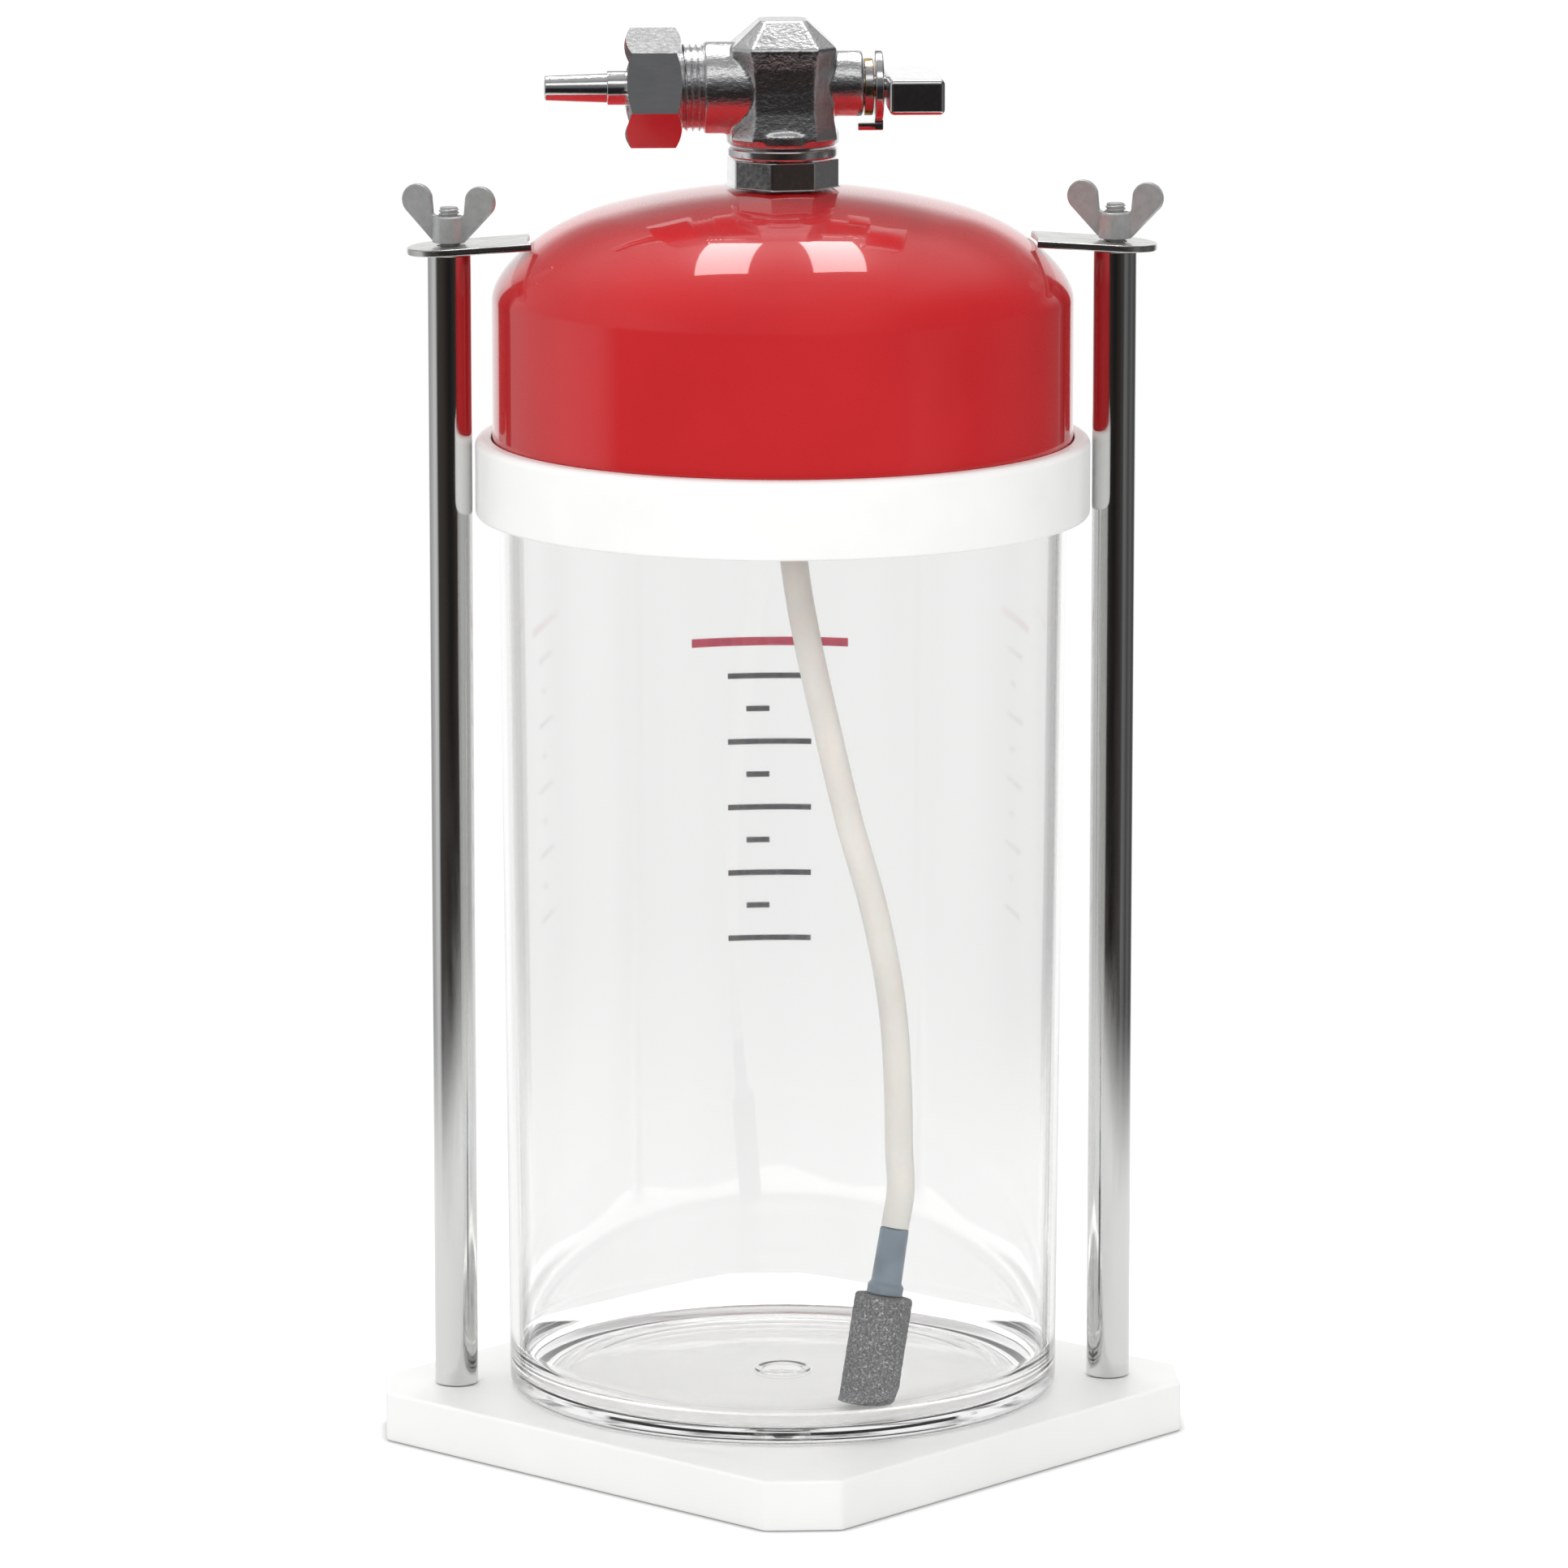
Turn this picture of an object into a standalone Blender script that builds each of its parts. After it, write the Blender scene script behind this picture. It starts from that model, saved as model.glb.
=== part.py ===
# Bubbling / foaming jar: a clear round jar on a square base plate, closed by a
# red domed metal lid that carries an angle valve, a dip hose and an air stone.
# Two upright tubes with threaded rods and wing nuts clamp the lid down.
#
# Frame: origin on the floor under the jar's axis, +Z up, the two tubes stand
# on the X axis, the valve lever points to -Y.  Built in metres.

import math
import bpy
import bmesh
from mathutils import Matrix, Vector

for _o in list(bpy.data.objects):
    bpy.data.objects.remove(_o, do_unlink=True)

MM = 0.001
GAP = 0.3                       # clearance between touching pieces, mm
SEG = 40                        # sides of the large turned pieces

# ---------------------------------------------------------------- dimensions
# base plate: a square standing on its corner, corners cut off
PLATE_SIDE = 180.8
PLATE_CUT = 15.5                # leg of the corner cut
PLATE_T = 14.5
PLATE_EDGE = 1.2                # edge rounding
POCKET_R = 8.5                  # nut pocket in the underside
POCKET_D = 8.0

# tie rods
ROD_X = 96.1                    # half the distance between the tubes
TUBE_R = 6.3
TUBE_RI = 5.2
TUBE_TOP = 349.0
STUD_R = 3.0                    # M6
STUD_Z0 = 0.8
STUD_Z1 = 362.6
HOLE_R = 3.4

# jar, slightly drafted
JAR_Z0 = PLATE_T + GAP
JAR_TOP = 284.0
JAR_R0 = 80.3
JAR_R1 = 82.4
JAR_WALL = 2.6
JAR_FLOOR = 3.0
JAR_FILLET = 12.0

# lid ring
RING_R = 89.0
RING_Z0 = 273.1
RING_Z1 = 295.6
RING_SKIRT_RI = 83.1
RING_WEB_RI = 79.5
RING_WEB_Z0 = 286.6
RING_WEB_Z1 = 289.6
GASKET_RI = 79.8

# dome: wall, elliptical shoulder and shallow crown
DOME_R = 84.0
DOME_T = 2.0
DOME_Z0 = RING_WEB_Z1 + GAP
DOME_APEX = 368.0
DOME_CROWN_R = 200.0
DOME_SHOULDER_R0 = 52.0
DOME_SHOULDER_H = 15.0
DOME_HOLE_R = 9.1

# neck
COLLAR_AF = 30.4
COLLAR_Z0 = 368.35
COLLAR_Z1 = 376.4
WASHER_R = 16.0
WASHER_Z1 = 379.8
NECK_R = 8.7
NECK_Z0 = 357.0
NECK_BORE = 4.5
NECK_NUT_AF = 24.0

# valve
AX_Z = 396.6                    # axis of both arms and of the lever
BODY_Z0 = 380.2
BODY_TOP = 416.3
FLANGE_R = 16.2
ARM_R = 13.2
ARM_X = -23.0
THREAD_R = 12.6
THREAD_X = -38.5
BOSS_R = 9.4
BOSS_DZ = 1.0
BOSS_X = 23.0
BALL_R = 7.0
CHAMBER_R = 7.4
PORT_R = 4.0

# union nut and nozzle
NUT_AF = 30.0
NUT_X0 = -45.3
NUT_X1 = -29.3
NUT_BORE = 12.95
NUT_WALL = 2.6
NUT_TILT = 11.0                 # degrees, front facet leans back
NOZ_TIP_X = -68.5
NOZ_ROOT_X = -50.6
NOZ_R_ROOT = 4.25
NOZ_R_TIP = 3.6
NOZ_HUB_R = 4.95
NOZ_FLANGE_R = 11.6
NOZ_BORE = 2.0

# lever
LEVER_X0 = 29.0
LEVER_X1 = 44.9
LEVER_BACK = 8.0
LEVER_FRONT = -29.0
LEVER_T = 10.2
STEM_R = 3.2

# clamp ears and wing nuts
EAR_W = 24.2
EAR_T = 2.0
EAR_TILT = 3.6                  # degrees, rising towards the dome
EAR_BOTTOM = 349.7              # underside on the rod's axis
EAR_TOE_R = 73.5
WING_Z0 = 352.45
WING_HUB_R = 4.85
WING_HUB_H = 7.6
WING_TURN = {-1: -24.0, 1: -22.0}

# dip hose and air stone
HOSE_R = 4.0
STONE_R = 8.4
STONE_BOTTOM = Vector((20.9, -59.0, 19.9))
STONE_TOP = Vector((26.3, -55.0, 53.3))
NIPPLE_L = 19.2
HOSE_TOP_Z = 344.7

# ------------------------------------------------------------------ helpers


def material(name, color, rough, metal, alpha=1.0, transmission=0.0):
    m = bpy.data.materials.new(name)
    m.use_nodes = True
    b = m.node_tree.nodes["Principled BSDF"]
    b.inputs["Base Color"].default_value = (*color, 1.0)
    b.inputs["Roughness"].default_value = rough
    b.inputs["Metallic"].default_value = metal
    b.inputs["Alpha"].default_value = alpha
    b.inputs["Transmission Weight"].default_value = transmission
    m.diffuse_color = (*color, alpha)
    return m


MATS = {
    "plate": material("plate_white", (0.86, 0.86, 0.85), 0.35, 0.0),
    "steel": material("polished_tube", (0.75, 0.76, 0.77), 0.08, 1.0),
    "zinc": material("zinc", (0.62, 0.64, 0.64), 0.35, 1.0),
    "ear": material("stainless", (0.72, 0.72, 0.70), 0.25, 1.0),
    "jar": material("clear_jar", (0.95, 0.95, 0.94), 0.03, 0.0, 0.35, 0.9),
    "ring": material("ring_white", (0.88, 0.88, 0.87), 0.35, 0.0),
    "red": material("red_paint", (0.55, 0.02, 0.025), 0.12, 0.0),
    "chrome": material("chrome", (0.78, 0.79, 0.80), 0.10, 1.0),
    "brass": material("brass", (0.72, 0.52, 0.22), 0.25, 1.0),
    "rubber": material("rubber_black", (0.05, 0.05, 0.05), 0.6, 0.0),
    "ptfe": material("ptfe", (0.9, 0.9, 0.9), 0.5, 0.0),
    "hose": material("silicone", (0.80, 0.81, 0.80), 0.35, 0.0, 0.7, 0.3),
    "nipple": material("nipple_blue_grey", (0.42, 0.48, 0.55), 0.4, 0.0),
    "stone": material("stone_grey", (0.14, 0.145, 0.145), 0.9, 0.0),
}


def finish(name, bm, mat, smooth=True, angle=35.0):
    """bmesh in millimetres and world axes -> object with a mesh in metres."""
    bmesh.ops.remove_doubles(bm, verts=bm.verts, dist=1e-5)
    bmesh.ops.recalc_face_normals(bm, faces=bm.faces)
    me = bpy.data.meshes.new(name)
    bm.to_mesh(me)
    bm.free()
    me.transform(Matrix.Scale(MM, 4))
    ob = bpy.data.objects.new(name, me)
    bpy.context.scene.collection.objects.link(ob)
    if mat:
        me.materials.append(MATS[mat])
    if smooth:
        me.shade_smooth()
        me.set_sharp_from_angle(angle=math.radians(angle))
    return ob


AXES = {
    "Z": Matrix.Identity(4),
    # local z -> world +X, local x -> world +Z
    "X": Matrix(((0, 0, 1, 0), (0, 1, 0, 0), (-1, 0, 0, 0), (0, 0, 0, 1))),
}


def turned(profile, seg, axis="Z", centre=(0, 0, 0), phase=0.0):
    """Closed (radius, height) loop turned about an axis."""
    bm = bmesh.new()
    rings = []
    for r, h in profile:
        if r < 1e-6:
            rings.append([bm.verts.new((0, 0, h))])
        else:
            rings.append([bm.verts.new((r * math.cos(phase + 2 * math.pi * k / seg),
                                        r * math.sin(phase + 2 * math.pi * k / seg), h))
                          for k in range(seg)])
    n = len(rings)
    for i in range(n):
        a, b = rings[i], rings[(i + 1) % n]
        if len(a) == 1 and len(b) == 1:
            continue
        for k in range(seg):
            k2 = (k + 1) % seg
            if len(a) == 1:
                bm.faces.new((a[0], b[k], b[k2]))
            elif len(b) == 1:
                bm.faces.new((a[k], a[k2], b[0]))
            else:
                bm.faces.new((a[k], a[k2], b[k2], b[k]))
    bmesh.ops.transform(bm, matrix=Matrix.Translation(centre) @ AXES[axis], verts=bm.verts)
    return bm


def rod(r, h0, h1, seg, axis="Z", centre=(0, 0, 0), phase=0.0, cham=0.0):
    """Solid cylinder or regular prism, with an optional end chamfer."""
    if cham:
        prof = [(0, h0), (r - cham, h0), (r, h0 + cham), (r, h1 - cham), (r - cham, h1), (0, h1)]
    else:
        prof = [(0, h0), (r, h0), (r, h1), (0, h1)]
    return turned(prof, seg, axis, centre, phase)


def pipe(ri, ro, h0, h1, seg, axis="Z", centre=(0, 0, 0)):
    return turned([(ri, h0), (ro, h0), (ro, h1), (ri, h1)], seg, axis, centre)


def prism(outline, z0, z1):
    """Flat outline (x, y) extruded in z."""
    bm = bmesh.new()
    lo = [bm.verts.new((x, y, z0)) for x, y in outline]
    hi = [bm.verts.new((x, y, z1)) for x, y in outline]
    bm.faces.new(list(reversed(lo)))
    bm.faces.new(hi)
    n = len(outline)
    for i in range(n):
        j = (i + 1) % n
        bm.faces.new((lo[i], lo[j], hi[j], hi[i]))
    return bm


def loft(sections):
    """Sections of equal vertex count joined one after another, capped."""
    bm = bmesh.new()
    rows = [[bm.verts.new(p) for p in s] for s in sections]
    bm.faces.new(list(reversed(rows[0])))
    bm.faces.new(rows[-1])
    for a, b in zip(rows, rows[1:]):
        n = len(a)
        for i in range(n):
            j = (i + 1) % n
            bm.faces.new((a[i], a[j], b[j], b[i]))
    return bm


def combine(ob, bm, op):
    """Union or difference of an object with a bmesh solid, result kept in ob."""
    tool = finish("tool", bm, None, smooth=False)
    mod = ob.modifiers.new("b", "BOOLEAN")
    mod.operation = op
    mod.solver = "EXACT"
    mod.object = tool
    dg = bpy.context.evaluated_depsgraph_get()
    me = bpy.data.meshes.new_from_object(ob.evaluated_get(dg))
    ob.modifiers.remove(mod)
    old = ob.data
    name = old.name
    ob.data = me
    bpy.data.meshes.remove(old)
    me.name = name
    bpy.data.objects.remove(tool, do_unlink=True)
    return ob


def cut(ob, *bms):
    for b in bms:
        combine(ob, b, "DIFFERENCE")
    return ob


def join(ob, *bms):
    for b in bms:
        combine(ob, b, "UNION")
    return ob


def reshade(ob, angle=35.0):
    ob.data.shade_smooth()
    ob.data.set_sharp_from_angle(angle=math.radians(angle))
    return ob


def empty(name, pos_mm, parent=None):
    e = bpy.data.objects.new(name, None)
    bpy.context.scene.collection.objects.link(e)
    p = Vector(pos_mm) * MM
    e["world"] = tuple(p)
    if parent is not None:
        e.parent = parent
        e.location = p - Vector(parent["world"])
    else:
        e.location = p
    return e


def ride(ob, e):
    """Hang a piece on an empty and move its origin to the empty's place."""
    ob.data.transform(Matrix.Translation(-Vector(e["world"])))
    ob.parent = e
    return ob


def dome_z(r):
    """Outer height of the dome at radius r."""
    z = DOME_APEX - r * r / (2 * DOME_CROWN_R)
    if r > DOME_SHOULDER_R0:
        q = min(1.0, (r - DOME_SHOULDER_R0) / (DOME_R - DOME_SHOULDER_R0))
        z -= DOME_SHOULDER_H * (1 - math.sqrt(max(0.0, 1 - q * q)))
    return z


def chamfered_square(w, c, z, cx=0.0, cy=0.0):
    pts = [(w, -(w - c)), (w, w - c), (w - c, w), (-(w - c), w),
           (-w, w - c), (-w, -(w - c)), (-(w - c), -w), (w - c, -w)]
    return [Vector((cx + x, cy + y, z)) for x, y in pts]


# ------------------------------------------------------------------- bodies
E_STAND = empty("stand_frame", (0, 0, 0))
E_JAR = empty("jar_axis", (0, 0, JAR_Z0), E_STAND)
E_LID = empty("lid_axis", (0, 0, RING_Z0), E_JAR)
E_LEVER = empty("lever_axis", (0, 0, AX_Z), E_LID)
E_NOZ = empty("nozzle_axis", (THREAD_X, 0, AX_Z), E_LID)
E_NUT = empty("union_nut_axis", (NUT_X1, 0, AX_Z), E_NOZ)
E_CLAMP = {s: empty(("left" if s < 0 else "right") + "_clamp_axis",
                    (s * ROD_X, 0, EAR_BOTTOM), E_LID) for s in (-1, 1)}
E_WING = {s: empty(("left" if s < 0 else "right") + "_wing_nut_axis",
                   (s * ROD_X, 0, WING_Z0), E_CLAMP[s]) for s in (-1, 1)}

# --------------------------------------------------------------- base plate
half = PLATE_SIDE / math.sqrt(2)
leg = PLATE_CUT / math.sqrt(2)
outline = [(half - leg, -leg), (half - leg, leg), (leg, half - leg), (-leg, half - leg),
           (-half + leg, leg), (-half + leg, -leg), (-leg, -half + leg), (leg, -half + leg)]
bm = prism(outline, 0.0, PLATE_T)
edges = [e for e in bm.edges if e.verts[0].co.z > 1 or e.verts[1].co.z > 1]
bmesh.ops.bevel(bm, geom=edges, offset=PLATE_EDGE, offset_type="OFFSET", segments=2,
                profile=0.5, affect="EDGES")
plate = finish("base_plate", bm, "plate")
for s in (-1, 1):
    cut(plate, rod(POCKET_R, -1.0, POCKET_D, 24, centre=(s * ROD_X, 0, 0)),
        rod(HOLE_R, 1.0, PLATE_T + 1, 16, centre=(s * ROD_X, 0, 0)))
ride(reshade(plate, 40), E_STAND)

# ----------------------------------------------------- tubes, rods, fixings
for s, side in ((-1, "left"), (1, "right")):
    c = (s * ROD_X, 0, 0)
    ride(finish(side + "_tube", pipe(TUBE_RI, TUBE_R, PLATE_T + GAP, TUBE_TOP, 32, centre=c),
                "steel"), E_STAND)
    ride(finish(side + "_threaded_rod",
                rod(STUD_R, STUD_Z0, STUD_Z1, 16, centre=c, cham=0.6), "zinc"), E_STAND)
    nut = finish(side + "_base_nut", rod(5.77, 1.2, 6.0, 6, centre=c, cham=0.4), "zinc", angle=20)
    cut(nut, rod(STUD_R + GAP, 0.0, 7.0, 16, centre=c))
    ride(reshade(nut, 20), E_STAND)
    ride(finish(side + "_base_washer", pipe(HOLE_R, 6.2, 6.3, 7.5, 20, centre=c), "zinc"), E_STAND)

# ---------------------------------------------------------------------- jar
zi = JAR_Z0 + JAR_FLOOR
ri0 = JAR_R0 - JAR_WALL
fil = [(ri0 - JAR_FILLET + JAR_FILLET * math.sin(a), zi + JAR_FILLET * (1 - math.cos(a)))
       for a in [math.pi / 2 * k / 5 for k in range(6)]]
jar_prof = [(0, JAR_Z0), (JAR_R0 - 1.6, JAR_Z0), (JAR_R0, JAR_Z0 + 1.6), (JAR_R1, JAR_TOP - 0.6),
            (JAR_R1 - 0.6, JAR_TOP), (JAR_R1 - JAR_WALL + 0.6, JAR_TOP),
            (JAR_R1 - JAR_WALL, JAR_TOP - 0.6)] + list(reversed(fil)) + [(0, zi)]
ride(finish("jar", turned(jar_prof, SEG), "jar"), E_JAR)

# ---------------------------------------------------------------------- lid
ring_prof = [(RING_SKIRT_RI, RING_Z0), (RING_R - 1.0, RING_Z0), (RING_R, RING_Z0 + 1.0),
             (RING_R, RING_Z1 - 2.2), (RING_R - 0.7, RING_Z1 - 0.7), (RING_R - 2.2, RING_Z1),
             (DOME_R + GAP, RING_Z1), (DOME_R + GAP, RING_WEB_Z1), (RING_WEB_RI, RING_WEB_Z1),
             (RING_WEB_RI, RING_WEB_Z0), (RING_SKIRT_RI, RING_WEB_Z0)]
ride(finish("lid_ring", turned(ring_prof, SEG), "ring"), E_LID)
ride(finish("lid_gasket", pipe(GASKET_RI, JAR_R1, JAR_TOP + GAP, RING_WEB_Z0 - GAP, SEG), "rubber"),
     E_LID)

radii = [DOME_HOLE_R, 22.0, 38.0, DOME_SHOULDER_R0]
radii += [DOME_SHOULDER_R0 + (DOME_R - DOME_SHOULDER_R0) * math.sin(math.pi / 2 * k / 5)
          for k in range(1, 6)]
outer = [(r, dome_z(r)) for r in radii]
inner = []
for i, (r, z) in enumerate(outer):
    a = outer[max(i - 1, 0)]
    b = outer[min(i + 1, len(outer) - 1)]
    if i == len(outer) - 1:
        nr, nz = 1.0, 0.0
    else:
        t = Vector((b[0] - a[0], b[1] - a[1])).normalized()
        nr, nz = -t.y, t.x
    inner.append((r if i == 0 else r - DOME_T * nr, z - DOME_T * nz))
dome_prof = outer + [(DOME_R, DOME_Z0), (DOME_R - DOME_T, DOME_Z0)] + list(reversed(inner))
ride(finish("dome", turned(dome_prof, SEG), "red"), E_LID)

# neck: octagonal collar with a threaded spigot through the dome and a nut below
oct_r = COLLAR_AF / 2 / math.cos(math.pi / 8)
collar = finish("neck_collar", rod(oct_r, COLLAR_Z0, COLLAR_Z1, 8,
                                   phase=math.pi / 8 + math.radians(8.7), cham=0.5), "chrome")
join(collar, rod(NECK_R, NECK_Z0, COLLAR_Z0 + 2, 24))
cut(collar, rod(8.6, 370.6, COLLAR_Z1 + 1, 24), rod(NECK_BORE, NECK_Z0 - 1, 372, 16))
ride(reshade(collar, 25), E_LID)
nut = finish("neck_nut", rod(NECK_NUT_AF / 2 / math.cos(math.pi / 6), 359.2, 365.0, 6, cham=0.5),
             "zinc")
cut(nut, rod(NECK_R + GAP, 358, 367, 24))
ride(reshade(nut, 25), E_LID)
ride(finish("neck_washer", pipe(8.6, WASHER_R, COLLAR_Z1 + 0.4, WASHER_Z1, 32), "chrome"), E_LID)

# ------------------------------------------------------------ valve body
secs = [chamfered_square(15.0, 6.0, BODY_Z0 + 3.0),
        chamfered_square(14.7, 6.0, 386.5),
        chamfered_square(14.1, 5.8, 390.5),
        chamfered_square(13.9, 5.6, 397.0),
        chamfered_square(14.3, 5.6, 403.0),
        chamfered_square(15.1, 5.5, 408.6),
        chamfered_square(6.6, 1.4, BODY_TOP)]
body = finish("valve_body", loft(secs), "chrome")
join(body, rod(FLANGE_R, BODY_Z0, 384.6, 32, cham=0.7),
     rod(ARM_R, ARM_X, 0, 32, "X", (0, 0, AX_Z), cham=0.6),
     rod(THREAD_R, THREAD_X, ARM_X + 3, 32, "X", (0, 0, AX_Z), cham=0.7),
     rod(BOSS_R, 0, BOSS_X, 24, "X", (0, 0, AX_Z + BOSS_DZ), cham=0.6),
     rod(8.2, 371.0, BODY_Z0 + 2, 24))
cut(body, rod(CHAMBER_R + 0.1, THREAD_X - 1, 0.5, 24, "X", (0, 0, AX_Z)),
    turned([(0, -CHAMBER_R)] + [(CHAMBER_R * math.cos(a), CHAMBER_R * math.sin(a)) for a in
                                [math.pi * (k / 8 - 0.5) for k in range(1, 8)]] + [(0, CHAMBER_R)],
           24, "X", (0, 0, AX_Z)),
    rod(STEM_R + GAP, 5.0, BOSS_X + 1, 20, "X", (0, 0, AX_Z)),
    rod(6.0, 12.2, BOSS_X + 1, 20, "X", (0, 0, AX_Z)),
    rod(PORT_R, 370.0, AX_Z, 20))
ride(reshade(body, 28), E_LID)

ride(finish("ball_seat", pipe(3.3, 7.2, -9.6, -6.6, 24, "X", (0, 0, AX_Z)), "ptfe"), E_LID)
ride(finish("seat_retainer", pipe(4.0, 7.2, -14.0, -9.9, 24, "X", (0, 0, AX_Z)), "brass"), E_LID)
ride(finish("stem_seal", pipe(STEM_R + GAP, 5.7, 12.5, 14.7, 20, "X", (0, 0, AX_Z)), "rubber"),
     E_LID)
gland = turned([(STEM_R + GAP, 15.0), (5.7, 15.0), (5.7, BOSS_X + GAP), (8.2, BOSS_X + GAP),
                (8.2, 25.9), (STEM_R + GAP, 25.9)], 24, "X", (0, 0, AX_Z))
ride(finish("gland_nut", gland, "brass"), E_LID)

# fitting on the neck's underside that the dip hose hangs from
fit_prof = [(1.8, 345.0), (5.6, 345.0), (6.2, 345.8), (6.2, 350.5), (7.6, 350.5), (7.6, 356.7),
            (4.2, 356.7), (4.2, 364.0), (1.8, 364.0)]
ride(finish("hose_fitting", turned(fit_prof, 24), "brass"), E_LID)

# -------------------------------------------------------------- lever group
ball = finish("valve_ball",
              turned([(0, -BALL_R)] + [(BALL_R * math.cos(a), BALL_R * math.sin(a)) for a in
                                       [math.pi * (k / 8 - 0.5) for k in range(1, 8)]]
                     + [(0, BALL_R)], 16, "X", (0, 0, AX_Z)), "chrome")
port_y = rod(2.6, 0, 9, 16)
bmesh.ops.transform(port_y, matrix=Matrix.Translation((0, 0, AX_Z)) @
                    Matrix.Rotation(-math.pi / 2, 4, "X"), verts=port_y.verts)
cut(ball, rod(2.6, -9, 2.0, 16, "X", (0, 0, AX_Z)), port_y)
slot = bmesh.new()
bmesh.ops.create_cube(slot, size=1.0)
bmesh.ops.transform(slot, matrix=Matrix.Translation((7.2, 0, AX_Z)) @
                    Matrix.Diagonal((5.0, 14.5, 3.0, 1.0)), verts=slot.verts)
cut(ball, slot)
ride(reshade(ball), E_LEVER)

stem = finish("spindle", rod(STEM_R, 7.6, 40.0, 20, "X", (0, 0, AX_Z), cham=0.3), "chrome")
tongue = bmesh.new()
bmesh.ops.create_cube(tongue, size=1.0)
bmesh.ops.transform(tongue, matrix=Matrix.Translation((6.9, 0, AX_Z)) @
                    Matrix.Diagonal((3.4, 5.6, 2.3, 1.0)), verts=tongue.verts)
join(stem, tongue)
ride(reshade(stem), E_LEVER)

plate_l = finish("lever_plate", rod(10.5, 26.2, 28.7, 32, "X", (0, 0, AX_Z), cham=0.5), "chrome")
tab = bmesh.new()
bmesh.ops.create_cube(tab, size=1.0)
bmesh.ops.transform(tab, matrix=Matrix.Translation((25.05, 0, 385.55)) @
                    Matrix.Diagonal((7.3, 10.0, 2.3, 1.0)), verts=tab.verts)
web = bmesh.new()
bmesh.ops.create_cube(web, size=1.0)
bmesh.ops.transform(web, matrix=Matrix.Translation((27.45, 0, 388.4)) @
                    Matrix.Diagonal((2.5, 9.9, 7.6, 1.0)), verts=web.verts)
join(plate_l, tab, web)
cut(plate_l, rod(STEM_R + GAP, 25, 30, 20, "X", (0, 0, AX_Z)))
ride(reshade(plate_l), E_LEVER)

zc = AX_Z
lev = bmesh.new()
bmesh.ops.create_cube(lev, size=1.0)
bmesh.ops.transform(lev, matrix=Matrix.Translation(((LEVER_X0 + LEVER_X1) / 2,
                                                    (LEVER_BACK + LEVER_FRONT) / 2, zc)) @
                    Matrix.Diagonal((LEVER_X1 - LEVER_X0, LEVER_BACK - LEVER_FRONT, LEVER_T, 1.0)),
                    verts=lev.verts)
bmesh.ops.bevel(lev, geom=list(lev.edges), offset=1.5, segments=2, profile=0.5, affect="EDGES")
lever = finish("lever_handle", lev, "chrome")
cut(lever, rod(STEM_R + GAP, LEVER_X0 - 1, 41.0, 20, "X", (0, 0, AX_Z)),
    rod(4.0, 40.3, LEVER_X1 + 1, 20, "X", (0, 0, AX_Z)))
ride(reshade(lever), E_LEVER)
ride(finish("lever_screw", rod(3.6, 40.6, 44.0, 20, "X", (0, 0, AX_Z), cham=0.5), "zinc"), E_LEVER)

# ------------------------------------------------------- nozzle, union nut
noz_prof = [(NOZ_BORE, NOZ_TIP_X), (NOZ_R_TIP - 0.4, NOZ_TIP_X), (NOZ_R_TIP, NOZ_TIP_X + 0.5),
            (NOZ_R_ROOT, NOZ_ROOT_X), (NOZ_HUB_R - 0.3, NOZ_ROOT_X),
            (NOZ_HUB_R, NOZ_ROOT_X + 0.4), (NOZ_HUB_R, -42.4), (NOZ_FLANGE_R, -42.4),
            (NOZ_FLANGE_R, -40.3), (NOZ_BORE, -40.3)]
ride(finish("nozzle", turned(noz_prof, 24, "X", (0, 0, AX_Z)), "chrome"), E_NOZ)
ride(finish("nozzle_gasket", pipe(5.5, 11.0, -40.0, -38.8, 24, "X", (0, 0, AX_Z)), "rubber"), E_NOZ)

nut_r = NUT_AF / 2 / math.cos(math.pi / 6)
# facet normals at 30 + 60 n degrees from a vertex; one is turned to the front
un = finish("union_nut", rod(nut_r, NUT_X0, NUT_X1, 6, "X", (0, 0, AX_Z),
                             phase=math.radians(-NUT_TILT), cham=0.8), "chrome")
cut(un, rod(NUT_BORE, NUT_X0 + NUT_WALL, NUT_X1 + 1, 32, "X", (0, 0, AX_Z)),
    rod(NOZ_HUB_R + 0.45, NUT_X0 - 1, NUT_X1, 24, "X", (0, 0, AX_Z)))
ride(reshade(un, 25), E_NUT)

# -------------------------------------------------- clamp ears, wing nuts


def ear_outline(s):
    """Strip with a round outer end and a hollow toe that follows the dome."""
    w = EAR_W / 2
    pts = []
    for k in range(13):
        a = math.pi / 2 + math.pi * k / 12
        pts.append((w * math.cos(a), w * math.sin(a)))
    toe = []
    for k in range(7):
        y = -w + 2 * w * k / 6
        toe.append((ROD_X - math.sqrt(EAR_TOE_R ** 2 - y * y), y))
    pts += toe
    if s > 0:
        pts = [(-x, y) for x, y in reversed(pts)]
    return pts


def wing_outline(side):
    """One wing in its own plane: u outwards, v up, a rounded lobe on a neck."""
    c = Vector((9.8, 11.9))
    lobe = 4.6
    pts = [(3.2, 7.3), (3.2, 0.6), (5.0, 0.0)]
    for k in range(9):
        a = math.radians(-48 + (160 + 48) * k / 8)
        pts.append((c.x + lobe * math.cos(a), c.y + lobe * math.sin(a)))
    pts.append((4.7, 8.3))
    return [(side * u, v) for u, v in pts]


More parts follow.
